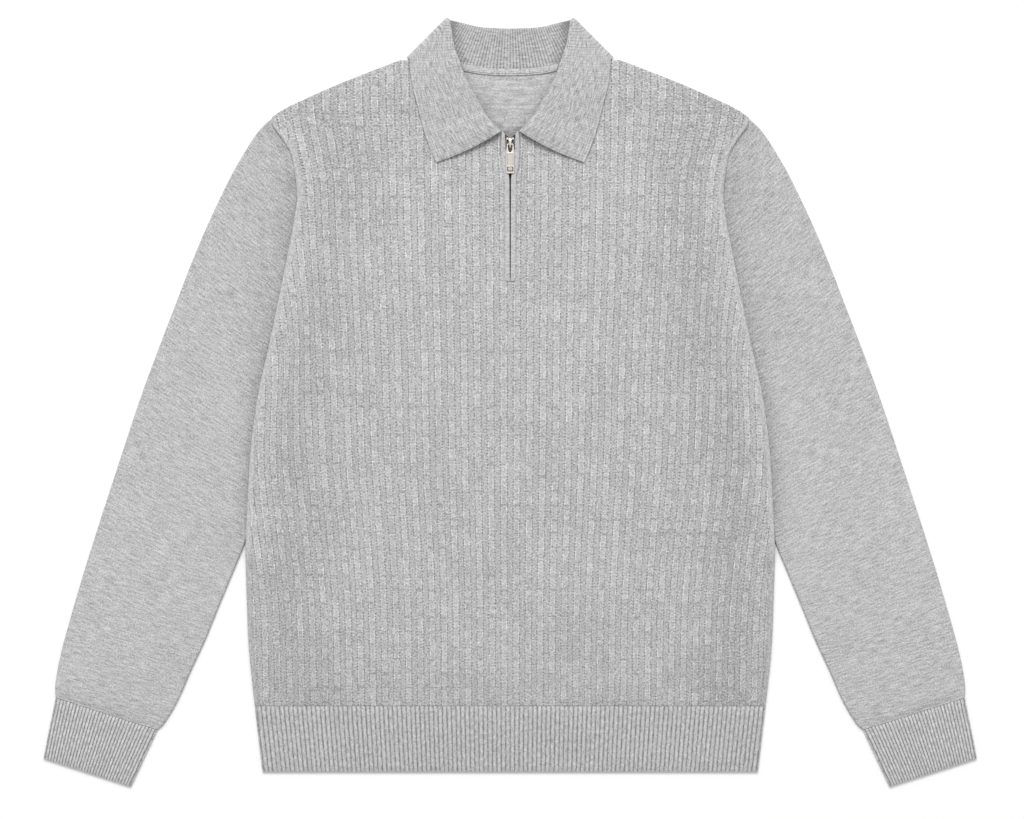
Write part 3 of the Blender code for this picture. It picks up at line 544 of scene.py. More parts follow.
# ---------------------------------------------------------------- front
# One knitted panel like the back, slit down the middle for the zip. Its side edge is turned and laps
# over the sleeve, the shoulder seam runs a finger's width in front of the fold, and it lies in
# shallow troughs beside the arms, with a soft crease above the hem.
RELIEF = 0.55
LIP_ENDS = (-163.0, -141.0)
FRONT_SEAM = np.array([  # x, y from the slit to the crease
    (13.0, 261.2), (24.0, 261.8), (36.0, 265.5), (50.0, 275.0), (63.0, 292.0), (74.0, 316.0), (83.9, 345.3),
])
SLIT_HALF = 0.6
SLIT_END = 120.4
SLIDER_HOLE_HALF = 4.9
HOLE_CLOSES = (215.4, 243.0)
PUSHED_HALF = 18.0
ZIP_LIFT = 1.1
ZIP_LIFT_STARTS = 94.0
LOFT = 1.6
EDGE_RISE = 0.8
PLACKET = np.array([  # the strips beside the zip: y, inner x, outer x
    (117.6, 0.3, 4.6), (121.5, 0.45, 5.2), (180.0, 0.55, 5.3), (215.4, 0.8, 5.6), (222.0, 1.5, 6.3),
    (228.5, 3.6, 8.0), (242.0, 3.75, 8.8), (245.0, 4.4, 8.9), (254.0, 4.6, 8.7), (258.0, 5.2, 8.6),
    (260.5, 5.9, 8.5), (262.4, 7.0, 8.3),
])
DITCH_STEPS = (4.3, 4.7, 5.0, 5.3, 5.6, 5.9, 6.2, 6.6, 7.1, 7.7)
# ridges and, with a negative height, troughs: from one point to another
FRONT_FOLDS = np.array([  # x0, y0, x1, y1, wide, high
    (177.0, 262.0, 166.0, 130.0, 22.0, -0.9), (166.0, 120.0, 174.0, 30.0, 20.0, -1.0),
    (176.0, 30.0, 204.0, -63.0, 22.0, -1.3), (204.0, -63.0, 232.0, -112.0, 20.0, -1.2),
    (-184.0, 240.0, -190.0, 131.0, 24.0, -0.8), (-190.0, 131.0, -178.0, 28.0, 22.0, -1.1),
    (-178.0, 28.0, -216.0, -95.0, 22.0, -1.2), (-216.0, -95.0, -238.0, -128.0, 16.0, -0.9),
    (106.5, -226.0, 103.0, -285.0, 5.0, 0.8), (96.0, -236.0, 95.0, -282.0, 6.0, -0.6),
    (44.0, -252.0, 92.0, -262.0, 12.0, -0.8), (-96.0, -232.0, -88.0, -280.0, 9.0, -0.5),
    (-190.0, 193.0, -146.0, 192.0, 3.5, -0.5), (163.0, 197.0, 197.0, 194.0, 3.5, -0.4),
    (-140.0, -60.0, 20.0, -84.0, 30.0, 0.5), (30.0, -30.0, 150.0, 6.0, 28.0, 0.5),
    (-60.0, 150.0, -150.0, 96.0, 20.0, 0.4), (60.0, 176.0, 140.0, 120.0, 22.0, 0.35),
])


def creases(x, y, table):
    """Sum of soft ridges: each is a bell across its line, and falls off past its ends over 1.5 widths."""
    total = np.zeros_like(x)
    for x0, y0, x1, y1, wide, high in table:
        run = np.array([x1 - x0, y1 - y0])
        length = np.hypot(*run)
        run = run / length
        on = (x - x0) * run[0] + (y - y0) * run[1]
        off = (x - x0) * run[1] - (y - y0) * run[0]
        past = np.maximum(0, np.maximum(-on, on - length))
        total += high * bell(off, wide) * bell(past, 1.5 * wide)
    return total


def zip_lift(x, y, flat):
    """The zip's tapes lift the cloth on them: level over flat to each side, then a short slope."""
    rise = np.clip((y - ZIP_LIFT_STARTS) / (SLIT_END - ZIP_LIFT_STARTS), 0, 1)
    return ZIP_LIFT * np.clip((flat + 6.0 - np.abs(x)) / 6.0, 0, 1) * rise


edge_steps = np.array([6.8, 5.9, 5.2, 4.5, 3.6, 2.6, 1.7, 0.9, 0.3, 0.0])
front_within = np.sort(np.concatenate([
    [SLIT_HALF, 2.33], DITCH_STEPS, rib_steps[rib_steps > 8.0], BODY_HALF - edge_steps]))
front_columns = np.concatenate([-front_within[::-1], front_within])
front_grid = panel(front_columns, 165, BODY_TOP_STEPS, front_half, along(FRONT_SEAM, 80))
front_x, front_y, front_down, front_across = front_grid
front_inside = front_half(front_y) - np.abs(front_x)
hole = SLIT_HALF + (SLIDER_HOLE_HALF - SLIT_HALF) * np.clip(
    (front_y - HOLE_CLOSES[0]) / (HOLE_CLOSES[1] - HOLE_CLOSES[0]), 0, 1)
pushed = hole + (np.abs(front_x) - SLIT_HALF) * (PUSHED_HALF - hole) / (PUSHED_HALF - SLIT_HALF)
front_x = np.where(np.abs(front_x) < PUSHED_HALF, np.sign(front_x) * pushed, front_x)
lapped = ease(*LIP_ENDS, front_y)
by_zip = 1 - (1 - ease(24.0, 90.0, np.abs(front_x))) * ease(60.0, 120.0, front_y)
puff = ease(8.0, 70.0, front_inside) * ease(0.0, 40.0, front_y - BODY_LOW) * ease(8.0, 60.0, front_down)
above = ease(190.0, 232.0, front_y)  # where the chest gives way to the shoulders
shoulders = ease(105.0, 130.0, np.abs(front_x)) * ease(10.0, 30.0, front_down) * ease(8.0, 30.0, front_inside)
puff = puff * (1 - above) + 0.35 * above * shoulders
folds = creases(front_x, front_y, FRONT_FOLDS) * ease(4.0, 30.0, front_inside)
soft = np.maximum(LOFT * puff + folds, 0.0) * by_zip
front_base = LAYER + lift(front_y) + zip_lift(front_x, front_y, 14.0) + soft
front_base += LAYER * lapped * (1 - ease(4.5, 14.5, front_inside))
front_base += EDGE_RISE * lapped * bell(front_inside - 4.0, 7.0)
relief = RELIEF * rib(front_across, 0.30, 0.20) * ease(5.0, 8.0, front_inside)
roll_groove = 0.1 + 0.7 * ease(200.0, 235.0, front_y)
rolled = lapped * (0.8 * bell(front_inside - 2.2, 1.7) - roll_groove * bell(front_inside - 5.4, 0.7))
side_seam_at = np.interp(front_y, (-200.0, -110.0, -70.0, -20.0, 0.0), (4.9, 7.2, 6.0, 2.5, -3.0))
side_seam = bell(front_inside - side_seam_at, 0.8)
seam_line = -0.55 * bell(front_down - 12.0, 0.8) + 0.25 * bell(front_down - 13.6, 1.2)
seam_line = seam_line * ease(100.0, 112.0, np.abs(front_x))
hem_dip = -0.7 * bell(front_y - BODY_LOW, 1.6)
beside_strip = np.abs(front_x) - np.interp(front_y, PLACKET[:, 0], PLACKET[:, 2]) - 0.45
ditch = -(0.3 + 1.0 * ease(232.0, 246.0, front_y)) * bell(beside_strip, 0.5) * ease(114.0, 124.0, front_y)
front_top = front_base + WALL - RELIEF + relief + rolled + seam_line + hem_dip + ditch - 0.3 * side_seam
front_low, front_high = rounded(front_base, front_top, np.minimum(front_inside, front_down + 0.2), 1.5)
SLIT_ROW = int(np.argmin(np.abs(front_y[:, len(front_within)] - SLIT_END)))
kept = np.ones((front_y.shape[0] - 1, len(front_columns) - 1), bool)
kept[SLIT_ROW:, len(front_within) - 1] = False
# Painted shade on the front: a little darker overall, darker beside the arms, towards the hem and on the right,
# and a painted shade line along the side seam. Where the edge laps over the sleeve it is painted lighter
# instead, a painted highlight on its roll.
beside_arm = ease(110.0, 35.0, front_inside) * ease(8.0, 35.0, front_inside)
front_painted_shade = 0.125 + 0.07 * beside_arm + 0.03 * ease(60.0, 0.0, front_y - BODY_LOW)
front_painted_shade += 0.025 * ease(120.0, 220.0, front_x) + 0.16 * side_seam
painted_light_edge = 0.065 * ease(30.0, 8.0, front_inside) * (1 - ease(180.0, 220.0, front_y))
front_painted_shade -= lapped * (painted_light_edge + 0.08 * ease(6.5, 4.0, front_inside))
turned_knit = heather("turned_knit", GREY, [(1.6, 3.2, 0.8), (0.9, 1.2, 0.6)], bump=0.4)
turned = np.where(front_within >= BODY_HALF - edge_steps[4], 2, 1)[1:]
turned = np.broadcast_to(np.concatenate([turned[::-1], [1], turned]), kept.shape)[kept]
front = shell("front_panel", *grids(front_x, front_y, front_low, front_high),
              np.stack([front_across, front_y], axis=2), [reverse_knit, body_knit, turned_knit],
              (0, turned, 2), kept=kept, shade=front_painted_shade)
fit(front, "front", "body_knit", flat=(0.514, 0.640), held="laid", rests_on=[back])

# ---------------------------------------------------------------- sleeves
# Plain jersey, sewn to a tube under the arm and let in to the armhole. Laid flat, the tube turns round
# at both edges. The cloth is puffed above the cuff that gathers it, and creased where the arm bends.
SLEEVE_OUTER = np.array([  # y, x of the outer fold
    (271.7, 236.7), (260.1, 246.4), (236.8, 261.4), (213.5, 274.0), (166.9, 295.9), (120.4, 315.3),
    (73.8, 332.7), (27.3, 350.7), (-42.6, 374.4), (-112.4, 397.2), (-182.3, 419.0), (-228.8, 432.1),
    (-252.1, 438.0), (-275.4, 441.8),
])[::-1]
# rings of the sleeve after the armhole. An inner x of 0 is a point beside the body's edge.
SLEEVE_RINGS = np.array([  # outer y, inner x, inner y, share of the armhole's curve, loft
    (268.0, 0, 54.0, 0.90, 0.0), (236.8, 0, 49.0, 0.62, 0.8), (190.0, 0, 43.0, 0.36, 1.5),
    (143.7, 0, 34.0, 0.18, 1.9), (92.0, 0, 22.0, 0.06, 2.0), (44.0, 0, 10.0, 0.0, 2.0),
    (-3.0, 0, -40.0, 0.0, 2.0), (-55.0, 0, -95.0, 0.0, 2.0), (-84.0, 0, -124.0, 0.0, 2.0),
    (-98.0, 257.5, -136.7, 0.0, 2.0), (-128.0, 270.1, -167.7, 0.0, 2.0), (-157.0, 283.0, -198.8, 0.0, 2.0),
    (-186.0, 295.6, -229.8, 0.0, 2.1), (-216.0, 309.9, -260.8, 0.0, 2.2), (-244.0, 322.6, -289.5, 0.0, 2.2),
    (-264.0, 331.6, -305.4, 0.0, 1.8), (-279.0, 338.4, -314.6, 0.0, 1.1),
])
CUFF_TOP = np.array([(441.4, -286.9), (342.5, -318.1)])
CUFF_LOW = np.array([(453.1, -345.4), (368.0, -372.9)])
SLEEVE_FOLDS = np.array([  # x0, y0, x1, y1, wide, high
    (262.0, 180.0, 300.0, 60.0, 16.0, 0.9), (300.0, -20.0, 365.0, -60.0, 14.0, 0.7),
    (330.0, -150.0, 395.0, -200.0, 15.0, 0.8), (345.0, -228.0, 380.0, -285.0, 12.0, 1.0),
    (385.0, -215.0, 415.0, -280.0, 12.0, 0.9), (236.0, 236.0, 262.0, 206.0, 9.0, 0.7),
    (232.0, 196.0, 246.0, 90.0, 10.0, -0.8), (280.0, 110.0, 322.0, 84.0, 8.0, 0.6),
    (284.0, 20.0, 336.0, 6.0, 9.0, -0.6), (339.0, -146.0, 371.0, -107.0, 7.0, 0.9),
    (318.0, -112.0, 350.0, -76.0, 8.0, -0.6), (300.0, -176.0, 334.0, -196.0, 8.0, 0.7),
    (352.0, -262.0, 357.0, -296.0, 4.5, 0.9), (374.0, -250.0, 381.0, -292.0, 5.0, -0.7),
    (398.0, -262.0, 404.0, -288.0, 4.0, 0.8), (418.0, -240.0, 424.0, -280.0, 5.0, 0.7),
])
UPPER_POINTS = 66  # across the sleeve's upper layer
STITCH_ROWS = np.array([  # y, x of the sleeve's middle, angle by which the rows of stitches rise outwards
    (-380.0, 415.0, 13.0), (-250.0, 377.0, 16.0), (-124.0, 331.0, 25.0), (0.0, 303.0, 31.0),
    (138.0, 262.0, 37.0), (215.0, 242.0, 43.0), (280.0, 226.0, 50.0),
])


def flat_tube(edges, upper, top, lower, turns=6, under=0.0):
    """Outer and inner loops of a tube of cloth that lies flat, a loop for each ring.

    edges (rings, 2 ends, 2) are its folds in plan, upper (rings, n, 2) the points of the upper layer
    between them and top their heights, and lower (rings, m, 2) the lower layer's points. At a fold
    the outer face turns round a half circle of the tube's height, and the inner face a small one.
    """
    radius, small = TUBE_HIGH / 2, GAP / 2
    angle = np.pi * np.arange(1, turns + 1) / (turns + 1)

    def turn(edge, towards, size):
        inset = (radius - size * np.sin(angle))[None, :, None] * towards[:, None, :]
        level = np.broadcast_to((radius + size * np.cos(angle))[None, :, None], inset.shape[:2] + (1,))
        return np.concatenate([edge[:, None, :] + inset, level], axis=2)

    first = unit(upper[:, 0] - edges[:, 0])
    last = unit(upper[:, -1] - edges[:, 1])
    loops = []
    for size, drop, base in ((radius, 0.0, under), (small, WALL, WALL)):
        height = np.maximum(top - drop, WALL + GAP / 2 if drop else 0.0)
        over = np.concatenate([upper, height[:, :, None]], axis=2)
        below = np.concatenate([lower, np.broadcast_to(base, lower.shape[:2])[:, :, None]], axis=2)[:, ::-1]
        loops.append(np.concatenate([over, turn(edges[:, 1], last, size), below,
                                     turn(edges[:, 0], first, size)[:, ::-1]], axis=1))
    return loops


def jersey_place(x, y):
    """Place on the sleeve's cloth, whose rows of stitches rise outwards. Up the sleeve's middle line both
    coordinates are summed in small steps by its angle to the rows, and across they run on straight."""
    up = np.linspace(STITCH_ROWS[0, 0], STITCH_ROWS[-1, 0], 400)
    middle, rise = through(STITCH_ROWS[:, 0], STITCH_ROWS[:, 1:], up).T
    rise = np.radians(rise)
    lean = np.gradient(middle, up)
    on = np.cumsum(np.sin(rise) + lean * np.cos(rise)) * (up[1] - up[0])
    over = np.cumsum(np.cos(rise) - lean * np.sin(rise)) * (up[1] - up[0])
    middle, rise, on, over = (np.interp(y, up, line) for line in (middle, rise, on, over))
    return np.stack([on + (x - middle) * np.cos(rise), over - (x - middle) * np.sin(rise)], axis=-1)


def sleeve(name, side, seed):
    """A tube of jersey. Each ring is a straight line from the outer fold to the inner one, plus the
    share of the armhole's curve that it keeps, and the rings follow smooth curves through the table."""
    y = np.linspace(277.7, ARMPIT, 400)
    hole_line = np.stack([back_half(y), y], axis=1)
    tangent = np.gradient(hole_line, axis=0)
    out = unit(np.stack([-tangent[:, 1], tangent[:, 0]], axis=1))
    hole_line = hole_line + 0.35 * out * np.sign(out[:, :1])
    chord = hole_line[-1] - hole_line[0]
    share = (hole_line - hole_line[0]) @ chord / (chord @ chord)
    bow = hole_line - hole_line[0] - share[:, None] * chord
    starts = np.stack([through(*SLEEVE_OUTER.T, SLEEVE_RINGS[:, 0]), SLEEVE_RINGS[:, 0]], axis=1)
    beside = np.where(SLEEVE_RINGS[:, 1] > 0, SLEEVE_RINGS[:, 1], back_half(SLEEVE_RINGS[:, 2]) + 0.35)
    inners = np.stack([beside, SLEEVE_RINGS[:, 2]], axis=1)
    down = unit(CUFF_LOW - CUFF_TOP) * -0.3
    table = np.concatenate([
        [[*hole_line[0], *hole_line[-1], 1.0, 0.0]],
        np.concatenate([starts, inners, SLEEVE_RINGS[:, 3:]], axis=1),
        [[*(CUFF_TOP[0] + down[0]), *(CUFF_TOP[1] + down[1]), 0.0, 0.0]]])
    middle = (table[:, 0:2] + table[:, 2:4]) / 2
    run = np.concatenate([[0], np.cumsum(np.hypot(*np.diff(middle, axis=0).T))])
    to_cuff = np.array([6, 4.2, 2.8, 1.6, 0.7, 0])
    at = np.concatenate([np.linspace(0, run[-1] - to_cuff[0], 190)[:-1], run[-1] - to_cuff])
    rings = through(run, table, at)
    start, end, keep, loft = rings[:, None, 0:2], rings[:, None, 2:4], rings[:, None, 4:5], rings[:, 5:6]

    def line(across):
        curve = np.stack([np.interp(across, share, bow[:, k]) for k in range(2)], axis=-1)
        return start + across[..., None] * (end - start) + keep * curve

    inset = (TUBE_HIGH / 2) / np.linalg.norm(end - start, axis=2)
    spread = 0.5 - 0.5 * np.cos(np.pi * np.linspace(0.06, 0.94, UPPER_POINTS)) / math.cos(0.06 * np.pi)
    across = inset + (1 - 2 * inset) * spread
    upper = line(across)
    lower = line(inset + (1 - 2 * inset) * np.linspace(0, 1, 24))
    full = 0.25 + 0.75 * ease(0.0, 0.22, 1 - across) * np.ones_like(at[:, None])
    crown = (4 * across * (1 - across)) ** 0.55 * full
    folds = creases(upper[..., 0], upper[..., 1], SLEEVE_FOLDS + [[0, 3 * seed, 0, -2 * seed, 0, 0]])
    left = run[-1] - at[:, None]
    gathers = np.sin(across * 74.0 + seed) * np.sin(across * 31.0 + 1.7 * seed)
    gathers = 0.55 * gathers * bell(left - 5.0, 9.0) * ease(0.0, 3.0, left)
    cap = 0.9 * bell(at[:, None] - 9.0, 7.0) * ease(0.0, 0.10, across)
    groove = -0.5 * bell((across - 0.985) * 120.0, 1.3)
    crushed = ease(0.0, 3.5, left)
    from_inner = (1 - across) * np.linalg.norm(end - start, axis=2)
    dip = -0.8 * bell(from_inner - 4.0, 4.0) * ease(-135.0, -100.0, end[:, :, 1])
    top = TUBE_HIGH + (np.maximum(loft * crown + folds * crown * np.minimum(1, loft) + cap * 0.3, 0.0)
                       + gathers + 0.5 * crown * bell(left - 7.0, 9.0)) * crushed + groove * crown + dip
    outer, inner = flat_tube(line(np.broadcast_to([[0.0, 1.0]], (len(at), 2))), upper, top, lower)
    plan = jersey_place(outer[..., 0], outer[..., 1]) + 400.0 * (outer[..., 2:3] < 1.0) + [0.0, 900.0 * seed]
    plan = np.concatenate([plan, plan[:, :1]], axis=1)
    for loop in (outer, inner):
        loop[..., 0] *= side
    x, y = upper[..., 0], upper[..., 1]
    away = np.maximum(x - front_half(y), 0.0)  # from the body's edge
    beside_hole = ease(30.0, 70.0, y)
    head = ease(212.0, 238.0, y)
    # Painted shade on the upper layer: a painted shadow beside the body's edge, where the front laps over the
    # sleeve, and a softer one beside it below the armpit; at the sleeve head a painted shade band beside the
    # seam, with a painted highlight on the line along it; a little darker towards the shoulder.
    painted_shadow_by_hole = 0.235 * beside_hole * np.exp(-away / 17.0) * (1 - 0.8 * head)
    painted_shade_below_arm = 0.18 * (1 - beside_hole) * bell(away, 11.0)
    shade = np.zeros(outer.shape[:2])
    shade[:, :UPPER_POINTS] = (painted_shadow_by_hole + painted_shade_below_arm) * ease(-160.0, -110.0, y)
    shade[:, :UPPER_POINTS] += head * (0.11 * ease(10.0, 6.0, away) - 0.25 * bell(away, 1.5))
    shade[:, :UPPER_POINTS] += 0.02 * ease(-100.0, 50.0, y) + 0.03 * ease(80.0, 230.0, y)
    # painted shade round the inner fold, where the tube turns under
    shade[:, UPPER_POINTS + 1:UPPER_POINTS + 5] = 0.2  # round the inner fold
    return shell(name, inner, outer, plan, [sleeve_jersey], closed=True, shade=shade)


SLEEVE_GREY = ((0.225, 0.222, 0.226), (0.69, 0.682, 0.69))
SLEEVE_FLECKS = [(11.0, 1.5, 0.75), (1.5, 1.3, 1.0), (50.0, 22.0, 0.12)]
sleeve_jersey = heather("sleeve_jersey", SLEEVE_GREY, SLEEVE_FLECKS, bump=0.3)
for node, side, seed in (("sleeve_right", -1, 0.0), ("sleeve_left", 1, 1.0)):
    piece = sleeve(node.replace("sleeve", "jersey_sleeve"), side, seed)
    fit(piece, node, "sleeve_jersey", flat=(0.400, 0.620), held="laid", rests_on=[back], area=0.130)

# ---------------------------------------------------------------- cuffs and hem band
# Tubes of elastic rib, folded flat. Each rib is round on top with a deep narrow groove beside it. The
# grooves are painted darker, painted shade, and the rib tops lighter, painted light.
BAND_RELIEF = 0.6
BAND_TOP = TUBE_HIGH - 0.2
HEM_TOP = np.array([(-248.0, -295.1), (248.0, -295.1)])
HEM_LOW = np.array([(-240.6, -358.3), (240.6, -358.3)])


def band_rib(count_pitch, groove_painted_shade):
    """Paints shade into the groove between two ribs and light onto the rib's top, so that its sides stay a
    little darker, over the distance round.
    """
    def pattern(u, v, tone, height):
        phase = maths("PINGPONG", u / count_pitch, 0.5)
        groove = spots(phase, 0.03, 0.17)
        crest = spots(0.5 - phase, 0.0, 0.3)
        # painted shade in the groove, painted light on the crest
        tone = groove * groove_painted_shade + (crest * 0.14 + tone)
        return tone, groove * -0.3 + height
    return pattern


def ribbed_tube(name, top, low, ribs, rows, material, sag):
    """A flat tube between two lines. The upper and lower layers rise by a rounded wave for each rib."""
    along_it = np.linspace(0, 1, rows)[:, None]
    start, end = (top[k] + along_it * (low[k] - top[k]) for k in range(2))
    width = np.linalg.norm(end - start, axis=1)[:, None]
    inset = (TUBE_HIGH / 2) / width
    phases = (np.arange(ribs)[:, None] + [0.0, 0.14, 0.36, 0.64, 0.86]).ravel() / ribs
    phases = np.append(phases, 1.0)
    across = inset + (1 - 2 * inset) * phases
    wave = np.sin(np.pi * ((phases * ribs) % 1)) ** 0.6
    place = start[:, None] + across[..., None] * (end - start)[:, None]
    far = np.minimum(along_it, 1 - along_it) * np.linalg.norm(low[0] - top[0])
    firm = ease(0.0, 2.0, far)
    swell = sag * (4 * across * (1 - across)) ** 0.5 * np.sin(np.pi * along_it) ** 0.7
    height = BAND_TOP + BAND_RELIEF * wave * (0.35 + 0.65 * firm) - 0.5 * (1 - firm) + swell
    outer, inner = flat_tube(np.stack([start, end], axis=1), place, height, place,
                             under=0.45 * (1 - wave) * firm)
    pitch = np.linalg.norm(top[1] - top[0]) / ribs
    u_upper = phases * ribs * pitch
    turning = np.linspace(0, 1, 8)[1:-1] * pitch
    u = np.concatenate([u_upper, u_upper[-1] + turning, u_upper[-1] + pitch + u_upper,
                        2 * u_upper[-1] + pitch + turning, [2 * u_upper[-1] + 2 * pitch]])
    v = along_it * np.linalg.norm(low[0] - top[0])
    plan = np.stack(np.broadcast_arrays(u[None, :], v), axis=2)
    return shell(name, inner, outer, plan, [material], closed=True)


RIB_GREY = ((0.21, 0.207, 0.211), (0.66, 0.653, 0.66))
CUFF_GREY = ((0.225, 0.222, 0.226), (0.72, 0.712, 0.72))
CUFF_RIBS = 30
HEM_RIBS = 112
cuff_pitch = np.linalg.norm(CUFF_TOP[1] - CUFF_TOP[0]) / CUFF_RIBS
hem_pitch = np.linalg.norm(HEM_TOP[1] - HEM_TOP[0]) / HEM_RIBS
cuff_rib = heather("cuff_rib", CUFF_GREY, [(2.2, 4.5, 0.75), (1.3, 1.6, 0.8), (40.0, 30.0, 0.12)],
                   band_rib(cuff_pitch, -0.62), 0.4, (cuff_pitch / 2, 1.1))
hem_rib = heather("hem_rib", RIB_GREY, [(2.4, 4.5, 0.75), (1.3, 1.6, 0.8), (60.0, 30.0, 0.12)],
                  band_rib(hem_pitch, -0.46), 0.4, (hem_pitch / 2, 1.1))
for node, side in (("cuff_right", -1), ("cuff_left", 1)):
    mirror = np.array([side, 1])
    name = node.replace("cuff", "ribbed_cuff")
    piece = ribbed_tube(name, CUFF_TOP * mirror, CUFF_LOW * mirror, CUFF_RIBS, 22, cuff_rib, 0.5)
    fit(piece, node, "rib_knit", flat=(0.208, 0.060), held="laid")
hem = ribbed_tube("ribbed_hem", HEM_TOP, HEM_LOW, HEM_RIBS, 20, hem_rib, 0.4)
fit(hem, "hem_band", "rib_knit", flat=(0.992, 0.063), held="laid")

# ---------------------------------------------------------------- collar
# One band of fine rib: it stands up from the neck seam, turns over in a soft roll and falls as the
# leaf. At the side of the neck the band goes round a crease, so that behind it the leaf is below.
FRONT_FOLD = np.array([  # x, y from the zip to the crease
    (9.6, 261.6), (21.5, 273.4), (31.9, 289.9), (42.2, 308.4), (50.3, 328.9), (55.2, 343.3), (59.9, 369.3),
])
FRONT_EDGE = np.array([  # x, y of the leaf's edge in front of the crease
    (72.1, 232.5), (77.9, 246.3), (85.0, 267.6), (90.0, 287.9), (95.4, 309.2), (97.5, 331.6),
])
BACK_FOLD = np.array([  # x, y from the crease to the middle of the back
    (59.9, 369.3), (46.6, 366.2), (30.3, 362.3), (10.0, 360.9), (0.0, 360.6),
])
BACK_EDGE = np.array([  # x, y of the leaf's edge behind the crease
    (97.5, 331.6), (86.0, 315.0), (66.0, 306.5), (30.0, 304.5), (0.0, 304.3),
])
CREASE_TURN = math.radians(45)
FOLD_RADIUS = LAYER / 2
CREASE_MIDDLE = 1.5 * LAYER + WALL / 2
LEAF_EARLY = 8.0
ROLL = 1.5  # the front's roll is this much rounder than the crease
TIP_LIFT = 4.5  # the leaf stands off the zip this much
EDGE_BOW = 2.3
COLLAR_GREY = ((0.215, 0.212, 0.216), (0.65, 0.642, 0.65))
STAND_RIB = 2.84
BAND_CREASE = 75.0  # the crease, as a distance along the band from the middle of the back
BAND_FOLD = 30.3  # the fold, as a distance across the band from the seam


def fine_rib(u, v, tone, height):
    """Narrow ribs across the band: deep grooves on the stand, and shallow ones on the leaf near its fold.

    The grooves are dented and painted darker, with the ground between them lighter, painted shade and
    light. The stand is a little darker overall, and darker still in the corner behind the crease, painted
    shade there. The leaf has more of the melange's small flecks, and its edge is a plain cord painted
    lighter, a painted highlight.
    """
    out = abs(u)
    stand = spots(v, BAND_FOLD - 2.0, BAND_FOLD + 0.5)
    from_crease = out - BAND_CREASE
    away = from_crease * 0.7 + (v - BAND_FOLD)
    groove = spots(maths("PINGPONG", u / STAND_RIB, 0.5), 0.04, 0.30)
    deep = spots(away, 8.0, 60.0) * 0.21 + 0.06
    deep = stand * 0.16 + deep
    fleck = mottle(u / 6.0, v / 1.1)
    wave = maths("SINE", u * (math.tau / 2.05))
    fleck = wave * 0.09 + (fleck - 0.5)
    fleck = fleck * (1.0 - stand)
    # painted highlight along the leaf's edge
    cord = 1.0 - spots(v, 85.4, 86.2)
    tone = cord * 0.13 + (fleck * 0.75 + tone)
    # painted shade in the stand's corner behind the crease
    corner = spots(BAND_CREASE - out, 0.0, 24.0) * stand
    tone = corner * -0.3 + (stand * -0.12 + tone)
    # painted shade in the grooves, painted light between them
    tone = tone - (groove - 0.35) * deep
    return tone, height - groove * deep


COLLAR_FLECKS = [(7.0, 1.3, 0.85), (1.4, 1.5, 0.65), (50.0, 40.0, 0.10)]
collar_knit = heather("collar_knit", COLLAR_GREY, COLLAR_FLECKS, fine_rib, 0.45, (1.42, 1.1))


